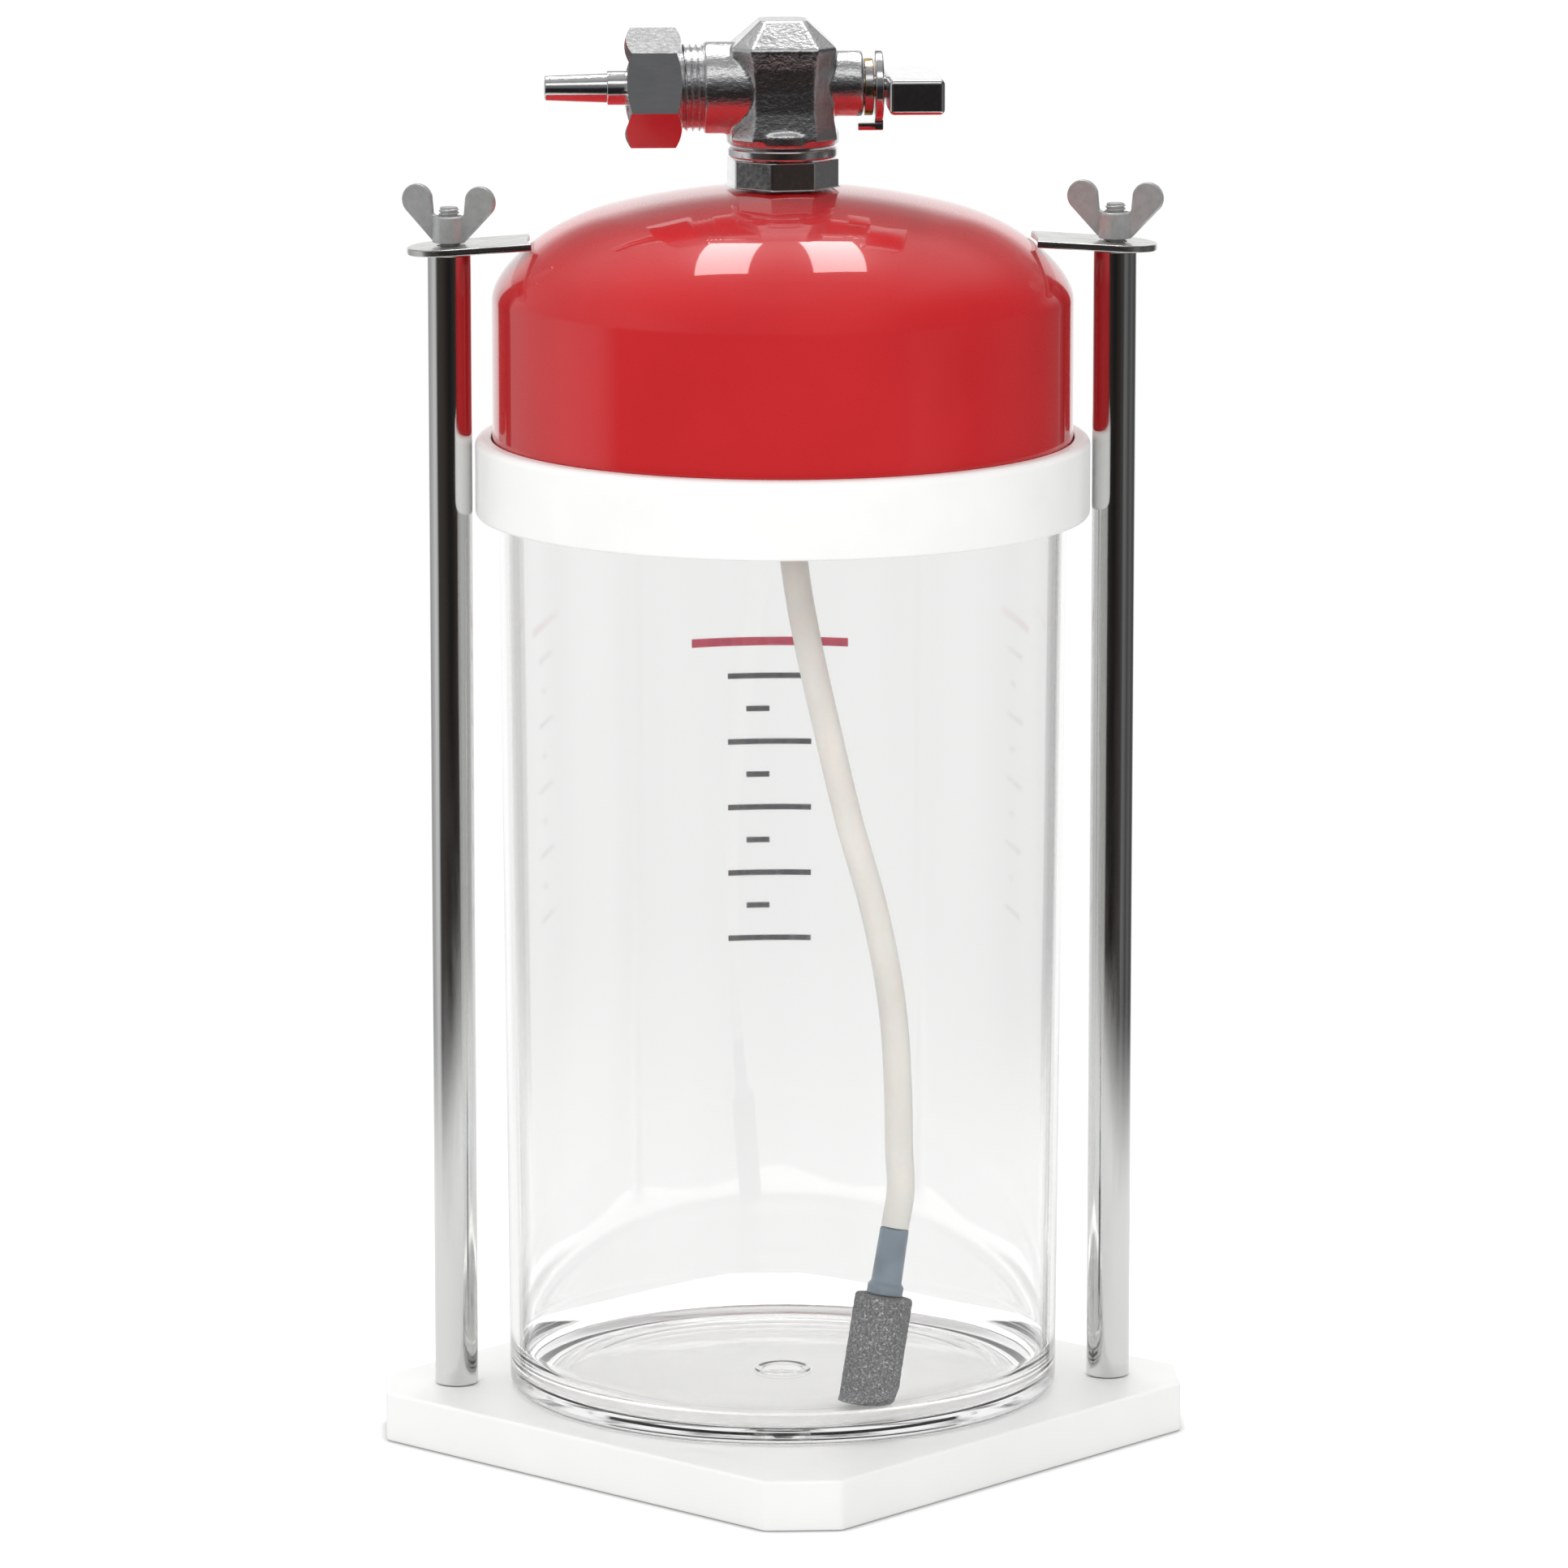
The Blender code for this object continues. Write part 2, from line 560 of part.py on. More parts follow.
for s, side in ((-1, "left"), (1, "right")):
    bm = prism(ear_outline(s), 0.0, EAR_T)
    ear = finish(side + "_clamp_ear", bm, "ear")
    cut(ear, rod(HOLE_R, -2, 5, 20))
    tilt = Matrix.Rotation(math.radians(s * EAR_TILT), 4, "Y")
    ear.data.transform(Matrix.Translation((s * ROD_X * MM, 0, EAR_BOTTOM * MM)) @ tilt)
    ride(reshade(ear), E_CLAMP[s])

    c = (s * ROD_X, 0, WING_Z0)
    hub = finish(side + "_wing_nut",
                 turned([(0, 0), (WING_HUB_R, 0), (WING_HUB_R - 0.5, WING_HUB_H - 0.5),
                         (WING_HUB_R - 1.0, WING_HUB_H), (0, WING_HUB_H)], 20), "zinc")
    for w in (-1, 1):
        wb = prism(wing_outline(w), -1.1, 1.1)
        bmesh.ops.transform(wb, matrix=Matrix.Rotation(math.pi / 2, 4, "X"), verts=wb.verts)
        join(hub, wb)
    cut(hub, rod(STUD_R + GAP, -1, 12, 16))
    hub.data.transform(Matrix.Translation(Vector(c) * MM) @
                       Matrix.Rotation(math.radians(WING_TURN[s]), 4, "Z"))
    ride(reshade(hub), E_WING[s])

# ------------------------------------------------------ dip hose and stone
axis = (STONE_TOP - STONE_BOTTOM).normalized()
stone_l = (STONE_TOP - STONE_BOTTOM).length
frame = Vector((0, 0, 1)).rotation_difference(axis).to_matrix().to_4x4()


def on_stone(bm, start):
    bmesh.ops.transform(bm, matrix=Matrix.Translation(STONE_BOTTOM + axis * start) @ frame,
                        verts=bm.verts)
    return bm


ride(finish("air_stone", on_stone(rod(STONE_R, 0, stone_l, 28, cham=0.7), 0), "stone"), E_LID)
nip = turned([(0, 0), (5.2, 0), (5.2, 2.4), (4.3, 3.4), (4.1, NIPPLE_L), (0, NIPPLE_L)], 20)
ride(finish("stone_nipple", on_stone(nip, stone_l + GAP), "nipple"), E_LID)

hose_end = STONE_TOP + axis * (NIPPLE_L + 2.4 * GAP)
ROUTE = [Vector(p) for p in (
    (0.0, 0.0, HOSE_TOP_Z), (0.0, -0.4, 326.0), (0.4, -2.6, 305.0), (1.2, -6.0, 283.0),
    (2.9, -10.7, 259.3), (6.5, -15.1, 237.3), (12.0, -20.4, 212.0), (17.8, -26.0, 187.0),
    (24.2, -31.4, 164.0), (28.2, -36.0, 144.4), (30.2, -40.0, 127.3), (30.9, -43.9, 110.2),
    (30.9, -48.3, 94.5))] + [hose_end + axis * 11.0, hose_end]


def smooth_route(pts, step):
    """Cubic curve through the points, read at an even spacing."""
    ext = [pts[0] * 2 - pts[1]] + pts + [pts[-1] * 2 - pts[-2]]
    fine = []
    for i in range(1, len(ext) - 2):
        p0, p1, p2, p3 = ext[i - 1:i + 3]
        for k in range(24):
            t = k / 24
            fine.append(0.5 * ((2 * p1) + (p2 - p0) * t + (2 * p0 - 5 * p1 + 4 * p2 - p3) * t * t
                               + (3 * p1 - p0 - 3 * p2 + p3) * t ** 3))
    fine.append(pts[-1].copy())
    total = [0.0]
    for a, b in zip(fine, fine[1:]):
        total.append(total[-1] + (b - a).length)
    n = max(2, round(total[-1] / step))
    out = []
    j = 0
    for k in range(n + 1):
        want = total[-1] * k / n
        while j < len(total) - 2 and total[j + 1] < want:
            j += 1
        f = (want - total[j]) / max(1e-9, total[j + 1] - total[j])
        out.append(fine[j].lerp(fine[j + 1], min(1.0, f)))
    return out


route = smooth_route(ROUTE, 2.2 * 2 * HOSE_R)
cu = bpy.data.curves.new("hose", "CURVE")
cu.dimensions = "3D"
cu.bevel_depth = HOSE_R * MM
cu.bevel_resolution = 2
cu.use_fill_caps = True
sp = cu.splines.new("POLY")
sp.points.add(len(route) - 1)
for p, q in zip(sp.points, route):
    w = (q * MM) - Vector(E_LID["world"])
    p.co = (w.x, w.y, w.z, 1.0)
cu.materials.append(MATS["hose"])
hose = bpy.data.objects.new("hose", cu)
bpy.context.scene.collection.objects.link(hose)
hose.parent = E_LID
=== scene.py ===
# Looks of the foaming jar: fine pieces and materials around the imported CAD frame.
# Millimetres in the numbers below, metres in the meshes.
import math

import bmesh
import bpy
import numpy as np
from mathutils import Matrix, Vector, noise


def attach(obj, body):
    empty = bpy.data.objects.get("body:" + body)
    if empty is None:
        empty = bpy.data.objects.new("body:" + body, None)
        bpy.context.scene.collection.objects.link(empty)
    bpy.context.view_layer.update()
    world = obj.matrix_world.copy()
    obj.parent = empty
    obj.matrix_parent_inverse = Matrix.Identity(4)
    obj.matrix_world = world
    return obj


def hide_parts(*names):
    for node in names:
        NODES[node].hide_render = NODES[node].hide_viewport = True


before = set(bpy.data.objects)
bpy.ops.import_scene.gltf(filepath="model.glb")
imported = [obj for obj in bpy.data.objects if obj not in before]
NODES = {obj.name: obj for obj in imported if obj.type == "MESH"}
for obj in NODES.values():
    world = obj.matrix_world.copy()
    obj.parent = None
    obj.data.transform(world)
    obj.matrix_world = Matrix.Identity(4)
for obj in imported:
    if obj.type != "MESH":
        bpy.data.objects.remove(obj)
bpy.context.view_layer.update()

MM = 0.001

# ------------------------------------------------------------ dimensions (CAD)
GAP = 0.3
PLATE_SIDE, PLATE_CUT, PLATE_T = 180.8, 15.5, 14.5
POCKET_R, POCKET_D = 8.5, 8.0
ROD_X, TUBE_R, TUBE_RI, TUBE_TOP = 96.1, 6.3, 5.2, 349.0
STUD_R, STUD_Z0, STUD_Z1, HOLE_R = 3.0, 0.8, 362.6, 3.4
JAR_Z0, JAR_TOP, JAR_R0, JAR_R1 = 14.8, 284.0, 80.3, 82.4
JAR_WALL, JAR_FLOOR, JAR_FILLET = 2.6, 3.0, 12.0
RING_R, RING_Z0, RING_Z1 = 89.0, 273.1, 295.6
RING_SKIRT_RI, RING_WEB_RI, RING_WEB_Z0, RING_WEB_Z1 = 83.1, 79.5, 286.6, 289.6
GASKET_RI = 79.8
DOME_R, DOME_T, DOME_Z0, DOME_APEX, DOME_CROWN_R = 84.0, 2.0, 289.9, 368.0, 200.0
DOME_SHOULDER_R0, DOME_SHOULDER_H, DOME_HOLE_R = 52.0, 15.0, 9.1
COLLAR_AF, COLLAR_Z0, COLLAR_Z1 = 30.4, 368.35, 376.4
WASHER_R, WASHER_Z1 = 16.0, 379.8
NECK_R, NECK_Z0, NECK_BORE, NECK_NUT_AF = 8.7, 357.0, 4.5, 24.0
AX_Z, BODY_Z0, BODY_TOP, FLANGE_R = 396.6, 380.2, 416.3, 16.2
ARM_R, ARM_X, THREAD_R, THREAD_X = 13.2, -23.0, 12.6, -38.5
BOSS_R, BOSS_DZ, BOSS_X = 9.4, 1.0, 23.0
CHAMBER_R, PORT_R, STEM_R = 7.4, 4.0, 3.2
NUT_AF, NUT_X0, NUT_X1, NUT_BORE, NUT_WALL, NUT_TILT = 30.0, -45.3, -29.3, 12.95, 2.6, 11.0
NOZ_TIP_X, NOZ_ROOT_X, NOZ_R_ROOT, NOZ_R_TIP, NOZ_HUB_R = -68.5, -50.6, 4.25, 3.6, 4.95
NOZ_FLANGE_R, NOZ_BORE = 11.6, 2.0
LEVER_X0, LEVER_X1, LEVER_BACK, LEVER_FRONT, LEVER_T = 29.0, 44.9, 8.0, -29.0, 10.2
EAR_W, EAR_T, EAR_TILT, EAR_BOTTOM, EAR_TOE_R = 24.2, 2.0, 3.6, 349.7, 73.5
WING_Z0, WING_HUB_R, WING_HUB_H = 352.45, 4.85, 7.6
WING_TURN = {-1: -24.0, 1: -22.0}
HOSE_R, HOSE_RI = 4.0, 2.5
STONE_R = 8.4
STONE_BOTTOM = Vector((20.9, -59.0, 19.9))
STONE_TOP = Vector((26.3, -55.0, 53.3))
NIPPLE_L, HOSE_TOP_Z = 19.2, 344.7

# ---------------------------------------------------------------------- camera
YAW, PITCH = math.radians(2.861), math.radians(10.733)
cam_data = bpy.data.cameras.new("camera")
cam_data.sensor_width = 36.0
cam_data.lens = 209.118
cam_data.clip_end = 50.0
cam_data.dof.use_dof = False
cam = bpy.data.objects.new("camera", cam_data)
bpy.context.scene.collection.objects.link(cam)
cam.location = (-0.1298, -2.6047, 0.6872)
look = Vector((math.sin(YAW) * math.cos(PITCH), math.cos(YAW) * math.cos(PITCH), -math.sin(PITCH)))
cam.rotation_euler = look.to_track_quat("-Z", "Y").to_euler()
bpy.context.scene.camera = cam

# ------------------------------------------------------------------ materials


class Mat:
    """A Principled material with a few helpers for its procedural nodes."""

    def __init__(self, name, base, rough, metal=0.0):
        self.m = bpy.data.materials.new(name)
        self.m.use_nodes = True
        self.nt = self.m.node_tree
        self.b = self.nt.nodes["Principled BSDF"]
        self.b.inputs["Base Color"].default_value = (*base, 1.0)
        self.b.inputs["Roughness"].default_value = rough
        self.b.inputs["Metallic"].default_value = metal
        self.m.diffuse_color = (*base, 1.0)
        self.tc = self.nt.nodes.new("ShaderNodeTexCoord")
        self.base = base
        self.rough = rough
        self.nrm = None

    def put(self, name, value):
        self.b.inputs[name].default_value = value
        return self

    def coords(self, scale=(1.0, 1.0, 1.0)):
        n = self.nt.nodes.new("ShaderNodeMapping")
        n.inputs["Scale"].default_value = scale
        self.nt.links.new(self.tc.outputs["Object"], n.inputs["Vector"])
        return n.outputs["Vector"]

    def noise(self, scale, detail=3.0, rough=0.5, stretch=(1.0, 1.0, 1.0), distortion=0.0):
        n = self.nt.nodes.new("ShaderNodeTexNoise")
        n.inputs["Scale"].default_value = scale
        n.inputs["Detail"].default_value = detail
        n.inputs["Roughness"].default_value = rough
        n.inputs["Distortion"].default_value = distortion
        self.nt.links.new(self.coords(stretch), n.inputs["Vector"])
        return n.outputs["Fac"]

    def cells(self, scale, feature="F1", stretch=(1.0, 1.0, 1.0)):
        n = self.nt.nodes.new("ShaderNodeTexVoronoi")
        n.feature = feature
        n.inputs["Scale"].default_value = scale
        self.nt.links.new(self.coords(stretch), n.inputs["Vector"])
        return n

    def span(self, fac, lo, hi, a=0.3, b=0.7):
        n = self.nt.nodes.new("ShaderNodeMapRange")
        n.inputs["From Min"].default_value = a
        n.inputs["From Max"].default_value = b
        n.inputs["To Min"].default_value = lo
        n.inputs["To Max"].default_value = hi
        self.nt.links.new(fac, n.inputs["Value"])
        return n.outputs["Result"]

    def mix(self, fac, ca, cb):
        n = self.nt.nodes.new("ShaderNodeMix")
        n.data_type = "RGBA"
        self.nt.links.new(fac, n.inputs["Factor"])
        for sock, c in ((n.inputs["A"], ca), (n.inputs["B"], cb)):
            pass
        a, b = n.inputs[6], n.inputs[7]
        for sock, c in ((a, ca), (b, cb)):
            if isinstance(c, tuple):
                sock.default_value = (*c, 1.0)
            else:
                self.nt.links.new(c, sock)
        return n.outputs[2]

    def math(self, op, x, y):
        n = self.nt.nodes.new("ShaderNodeMath")
        n.operation = op
        for i, v in enumerate((x, y)):
            if isinstance(v, (int, float)):
                n.inputs[i].default_value = v
            else:
                self.nt.links.new(v, n.inputs[i])
        return n.outputs[0]

    def color(self, out):
        self.nt.links.new(out, self.b.inputs["Base Color"])
        return self

    def roughness(self, out):
        self.nt.links.new(out, self.b.inputs["Roughness"])
        return self

    def bump(self, height, depth_mm, strength=1.0):
        n = self.nt.nodes.new("ShaderNodeBump")
        n.inputs["Strength"].default_value = strength
        n.inputs["Distance"].default_value = depth_mm * MM
        self.nt.links.new(height, n.inputs["Height"])
        if self.nrm is not None:
            self.nt.links.new(self.nrm, n.inputs["Normal"])
        self.nrm = n.outputs["Normal"]
        self.nt.links.new(self.nrm, self.b.inputs["Normal"])
        return self

    def edge_wear(self, fac_lo=0.51, fac_hi=0.60):
        g = self.nt.nodes.new("ShaderNodeNewGeometry")
        return self.span(g.outputs["Pointiness"], 0.0, 1.0, fac_lo, fac_hi)


def tint(c, k):
    return tuple(min(1.0, x * k) for x in c)


def speckled_metal(name, base, rough, var=0.06, grain=900.0, depth=0.01, low=140.0, low_depth=0.0,
                   rough_var=0.06, stretch=(1, 1, 1)):
    m = Mat(name, base, rough, 1.0)
    n1 = m.noise(grain, 4.0, 0.6, stretch)
    n2 = m.noise(low, 2.0, 0.5)
    m.color(m.mix(m.span(n2, 0, 1), tint(base, 1 - var), tint(base, 1 + var)))
    m.roughness(m.span(n1, max(0.02, rough - rough_var), rough + rough_var))
    m.bump(n1, depth)
    if low_depth:
        m.bump(n2, low_depth)
    return m


def make_materials():
    out = {}

    # white plastic of the base plate: fine milled grain
    m = Mat("plate_white", (0.87, 0.875, 0.865), 0.42)
    n1, n2 = m.noise(28, 3, 0.5), m.noise(1400, 3, 0.6)
    m.color(m.mix(m.span(n1, 0, 1), (0.855, 0.858, 0.850), (0.885, 0.888, 0.882)))
    m.roughness(m.span(m.noise(60, 3), 0.34, 0.46)).bump(n2, 0.006).put("Specular IOR Level", 0.45)
    out["plate"] = m

    m = Mat("ring_white", (0.86, 0.86, 0.855), 0.34)
    n1, n2 = m.noise(45, 3), m.noise(1800, 2, 0.6)
    m.color(m.mix(m.span(n1, 0, 1), (0.84, 0.84, 0.835), (0.88, 0.88, 0.875)))
    m.roughness(m.span(m.noise(50, 3), 0.30, 0.40)).bump(n2, 0.004)
    m.put("Specular IOR Level", 0.45)
    out["ring"] = m

    # clear jar wall, with faint draw lines and moulding waviness
    m = Mat("clear_plastic", (0.985, 0.985, 0.98), 0.015)
    n1, n2 = m.noise(35, 2, 0.5, (1, 1, 0.12)), m.noise(420, 3, 0.5, (1, 1, 0.2))
    m.color(m.mix(m.span(n1, 0, 1), (0.975, 0.976, 0.972), (0.99, 0.99, 0.988)))
    m.roughness(m.span(n2, 0.0, 0.045)).bump(n1, 0.05).put("Transmission Weight", 1.0).put("IOR", 1.49)
    out["clear"] = m

    # red enamel under a hard gloss coat, faint orange peel
    m = Mat("red_enamel", (0.50, 0.014, 0.018), 0.34)
    n1, n2, n3 = m.noise(30, 3), m.noise(260, 2, 0.5), m.noise(2200, 2, 0.5)
    m.color(m.mix(m.span(n1, 0, 1), (0.485, 0.013, 0.017), (0.52, 0.016, 0.020)))
    m.roughness(m.span(n3, 0.26, 0.38)).bump(n2, 0.012)
    m.put("Specular IOR Level", 0.12).put("Coat Weight", 1.0).put("Coat Roughness", 0.035).put("Coat IOR", 1.5)
    out["red"] = m

    # chrome plating over a sand casting: orange peel and pits
    m = Mat("cast_chrome", (0.80, 0.805, 0.81), 0.10, 1.0)
    n1, n2, n3 = m.noise(950, 4, 0.65), m.noise(260, 2, 0.5), m.noise(1900, 2, 0.5)
    m.color(m.mix(m.span(m.noise(90, 3), 0, 1), (0.76, 0.765, 0.77), (0.84, 0.84, 0.845)))
    m.roughness(m.span(n3, 0.08, 0.22)).bump(n2, 0.14).bump(n1, 0.17)
    out["cast"] = m

    # chrome on machined pieces: brighter, fine turning marks and hairline scratches
    m = Mat("nut_chrome", (0.84, 0.845, 0.85), 0.08, 1.0)
    scr = m.noise(500, 4, 0.7, (0.25, 1.0, 1.0), 0.4)
    m.color(m.mix(m.span(m.noise(120, 3), 0, 1), (0.80, 0.805, 0.81), (0.87, 0.87, 0.875)))
    m.roughness(m.span(m.noise(800, 3), 0.08, 0.20)).bump(scr, 0.015).bump(m.noise(90, 2), 0.03)
    out["chrome"] = m

    # drawn and polished steel tube: long vertical lines
    m = Mat("polished_tube", (0.72, 0.72, 0.71), 0.09, 1.0)
    lines = m.noise(1500, 3, 0.6, (1, 1, 0.004))
    m.color(m.mix(m.span(m.noise(60, 2, 0.5, (1, 1, 0.1)), 0, 1), (0.69, 0.695, 0.685), (0.75, 0.755, 0.745)))
    m.roughness(m.span(m.noise(420, 3, 0.5, (1, 1, 0.06)), 0.05, 0.16)).bump(lines, 0.016)
    out["tube"] = m

    # clamp ears: brushed stainless sheet
    m = Mat("stainless", (0.72, 0.72, 0.70), 0.24, 1.0)
    brush = m.noise(1400, 4, 0.6, (0.03, 1, 1))
    m.color(m.mix(m.span(m.noise(150, 3), 0, 1), (0.68, 0.68, 0.66), (0.76, 0.76, 0.745)))
    m.roughness(m.span(brush, 0.16, 0.34)).bump(brush, 0.012)
    out["ear"] = m

    # zinc plating on the wing nuts, rods, nuts and washers: satin, slightly mottled
    m = Mat("zinc", (0.46, 0.47, 0.465), 0.36, 0.55)
    n1 = m.noise(420, 4, 0.6)
    m.color(m.mix(m.span(n1, 0, 1), (0.42, 0.435, 0.43), (0.52, 0.53, 0.525)))
    m.roughness(m.span(m.noise(900, 3), 0.28, 0.44)).bump(n1, 0.03)
    out["zinc"] = m

    m = Mat("brass", (0.70, 0.50, 0.20), 0.24, 1.0)
    n1 = m.noise(380, 4, 0.6)
    m.color(m.mix(m.span(n1, 0, 1), (0.60, 0.41, 0.15), (0.78, 0.58, 0.26)))
    m.roughness(m.span(m.noise(900, 2), 0.16, 0.34)).bump(m.noise(1200, 3), 0.01)
    out["brass"] = m

    # gland: plated brass, the plating worn through in places
    m = Mat("gland_plated", (0.70, 0.66, 0.56), 0.18, 1.0)
    n1 = m.noise(260, 3, 0.6)
    m.color(m.mix(m.span(n1, 0, 1, 0.48, 0.58), (0.66, 0.66, 0.66), (0.72, 0.50, 0.20)))
    m.roughness(m.span(m.noise(900, 2), 0.12, 0.28)).bump(m.noise(1200, 3), 0.02)
    out["gland"] = m

    m = Mat("black_rubber", (0.035, 0.035, 0.036), 0.6)
    n1 = m.noise(500, 4, 0.6)
    m.color(m.mix(m.span(n1, 0, 1), (0.025, 0.025, 0.027), (0.05, 0.05, 0.05)))
    m.roughness(m.span(n1, 0.5, 0.72)).bump(n1, 0.03)
    out["rubber"] = m

    m = Mat("ptfe", (0.88, 0.88, 0.87), 0.5)
    n1 = m.noise(300, 3)
    m.color(m.mix(m.span(n1, 0, 1), (0.84, 0.84, 0.83), (0.9, 0.9, 0.89)))
    m.roughness(m.span(n1, 0.4, 0.6)).bump(m.noise(900, 3), 0.01)
    out["ptfe"] = m

    # milky silicone hose
    # painted shade: the hose's colours sit below its base colour, lowered to offset the boosted light inside the jar
    m = Mat("silicone", (0.84, 0.825, 0.79), 0.38)
    n1, n2 = m.noise(55, 3, 0.5), m.noise(900, 2)
    m.color(m.mix(m.span(n1, 0, 1), (0.74, 0.72, 0.685), (0.80, 0.785, 0.755)))
    m.roughness(m.span(n2, 0.30, 0.46)).bump(n2, 0.01)
    m.put("Transmission Weight", 0.35).put("IOR", 1.41)
    m.put("Subsurface Weight", 0.25).put("Subsurface Scale", 0.003)
    out["silicone"] = m

    # painted shade: the nipple's colours sit below its base colour, lowered to offset the boosted light inside the
    # jar
    m = Mat("nipple_plastic", (0.165, 0.215, 0.265), 0.40)
    n1 = m.noise(180, 3)
    m.color(m.mix(m.span(n1, 0, 1), (0.090, 0.125, 0.160), (0.130, 0.170, 0.210)))
    m.roughness(m.span(m.noise(700, 3), 0.30, 0.48)).bump(m.noise(700, 3), 0.015)
    out["nipple"] = m

    # sintered stone: dark grey grains with light ones among them
    # painted shade: the grain colours are lowered to offset the boosted light that reaches the stone inside the jar
    m = Mat("air_stone_grains", (0.150, 0.156, 0.158), 0.92)
    v = m.cells(1500)
    n1 = m.noise(1300, 5, 0.75)
    light = m.span(n1, 0, 1, 0.55, 0.63)
    basec = m.mix(m.span(v.outputs["Distance"], 0, 1, 0.1, 0.7), (0.150, 0.156, 0.158), (0.050, 0.052, 0.054))
    m.color(m.mix(light, basec, (0.40, 0.405, 0.40)))
    m.roughness(m.span(n1, 0.8, 1.0)).bump(v.outputs["Distance"], 0.20).bump(n1, 0.12)
    out["stone"] = m

    m = Mat("print_grey", (0.075, 0.075, 0.082), 0.5)
    n1 = m.noise(700, 3)
    m.color(m.mix(m.span(n1, 0, 1), (0.065, 0.065, 0.072), (0.095, 0.095, 0.102)))
    m.roughness(m.span(n1, 0.4, 0.6)).bump(n1, 0.01)
    out["print"] = m

    m = Mat("print_red", (0.55, 0.035, 0.09), 0.5)
    n1 = m.noise(700, 3)
    m.color(m.mix(m.span(n1, 0, 1), (0.50, 0.03, 0.08), (0.60, 0.045, 0.105)))
    m.roughness(m.span(n1, 0.4, 0.6)).bump(n1, 0.01)
    out["print_red"] = m
    return out


MATS = make_materials()

# -------------------------------------------------------------- mesh helpers
AXES = {
    "Z": Matrix.Identity(4),
    "X": Matrix(((0, 0, 1, 0), (0, 1, 0, 0), (-1, 0, 0, 0), (0, 0, 0, 1))),
}


def rounded(pts, n=4):
    """Profile points (a, b) or (a, b, radius): corners with a radius get an arc."""
    out = []
    m = len(pts)
    for i, p in enumerate(pts):
        if len(p) < 3 or p[2] <= 0:
            out.append((p[0], p[1]))
            continue
        a, b = pts[(i - 1) % m], pts[(i + 1) % m]
        P, A, B = Vector(p[:2]), Vector(a[:2]), Vector(b[:2])
        u, v = (A - P), (B - P)
        lu, lv = u.length, v.length
        u.normalize()
        v.normalize()
        ang = math.acos(max(-1, min(1, u.dot(v))))
        t = min(p[2] / math.tan(ang / 2), lu * 0.49, lv * 0.49)
        s, e = P + u * t, P + v * t
        r = t * math.tan(ang / 2)
        c = P + (u + v).normalized() * (r / math.sin(ang / 2))
        a0 = math.atan2(s.y - c.y, s.x - c.x)
        a1 = math.atan2(e.y - c.y, e.x - c.x)
        d = (a1 - a0 + math.pi) % (2 * math.pi) - math.pi
        for k in range(n + 1):
            q = a0 + d * k / n
            out.append((c.x + r * math.cos(q), c.y + r * math.sin(q)))
    return out


def turned(profile, seg, axis="Z", centre=(0, 0, 0), phase=0.0):
    """Closed (radius, height) loop turned about an axis."""
    bm = bmesh.new()
    rings = []
    for r, h in profile:
        if r < 1e-6:
            rings.append([bm.verts.new((0, 0, h))])
        else:
            rings.append([bm.verts.new((r * math.cos(phase + 2 * math.pi * k / seg),
                                        r * math.sin(phase + 2 * math.pi * k / seg), h))
                          for k in range(seg)])
    n = len(rings)
    for i in range(n):
        a, b = rings[i], rings[(i + 1) % n]
        if len(a) == 1 and len(b) == 1:
            continue
        for k in range(seg):
            k2 = (k + 1) % seg
            if len(a) == 1:
                bm.faces.new((a[0], b[k], b[k2]))
            elif len(b) == 1:
                bm.faces.new((a[k], a[k2], b[0]))
            else:
                bm.faces.new((a[k], a[k2], b[k2], b[k]))
    bmesh.ops.transform(bm, matrix=Matrix.Translation(centre) @ AXES[axis], verts=bm.verts)
    return bm


def rod(r, h0, h1, seg, axis="Z", centre=(0, 0, 0), phase=0.0, cham=0.0):
    if cham:
        prof = [(0, h0), (r - cham, h0), (r, h0 + cham), (r, h1 - cham), (r - cham, h1), (0, h1)]
    else:
        prof = [(0, h0), (r, h0), (r, h1), (0, h1)]
    return turned(prof, seg, axis, centre, phase)


def round_rod(r, h0, h1, seg, rad, axis="Z", centre=(0, 0, 0), phase=0.0):
    return turned(rounded([(0, h0), (r, h0, rad), (r, h1, rad), (0, h1)]), seg, axis, centre, phase)


def pipe(ri, ro, h0, h1, seg, axis="Z", centre=(0, 0, 0), rad=0.25):
    return turned(rounded([(ri, h0, rad * 0.6), (ro, h0, rad), (ro, h1, rad), (ri, h1, rad * 0.6)], 3),
                  seg, axis, centre)


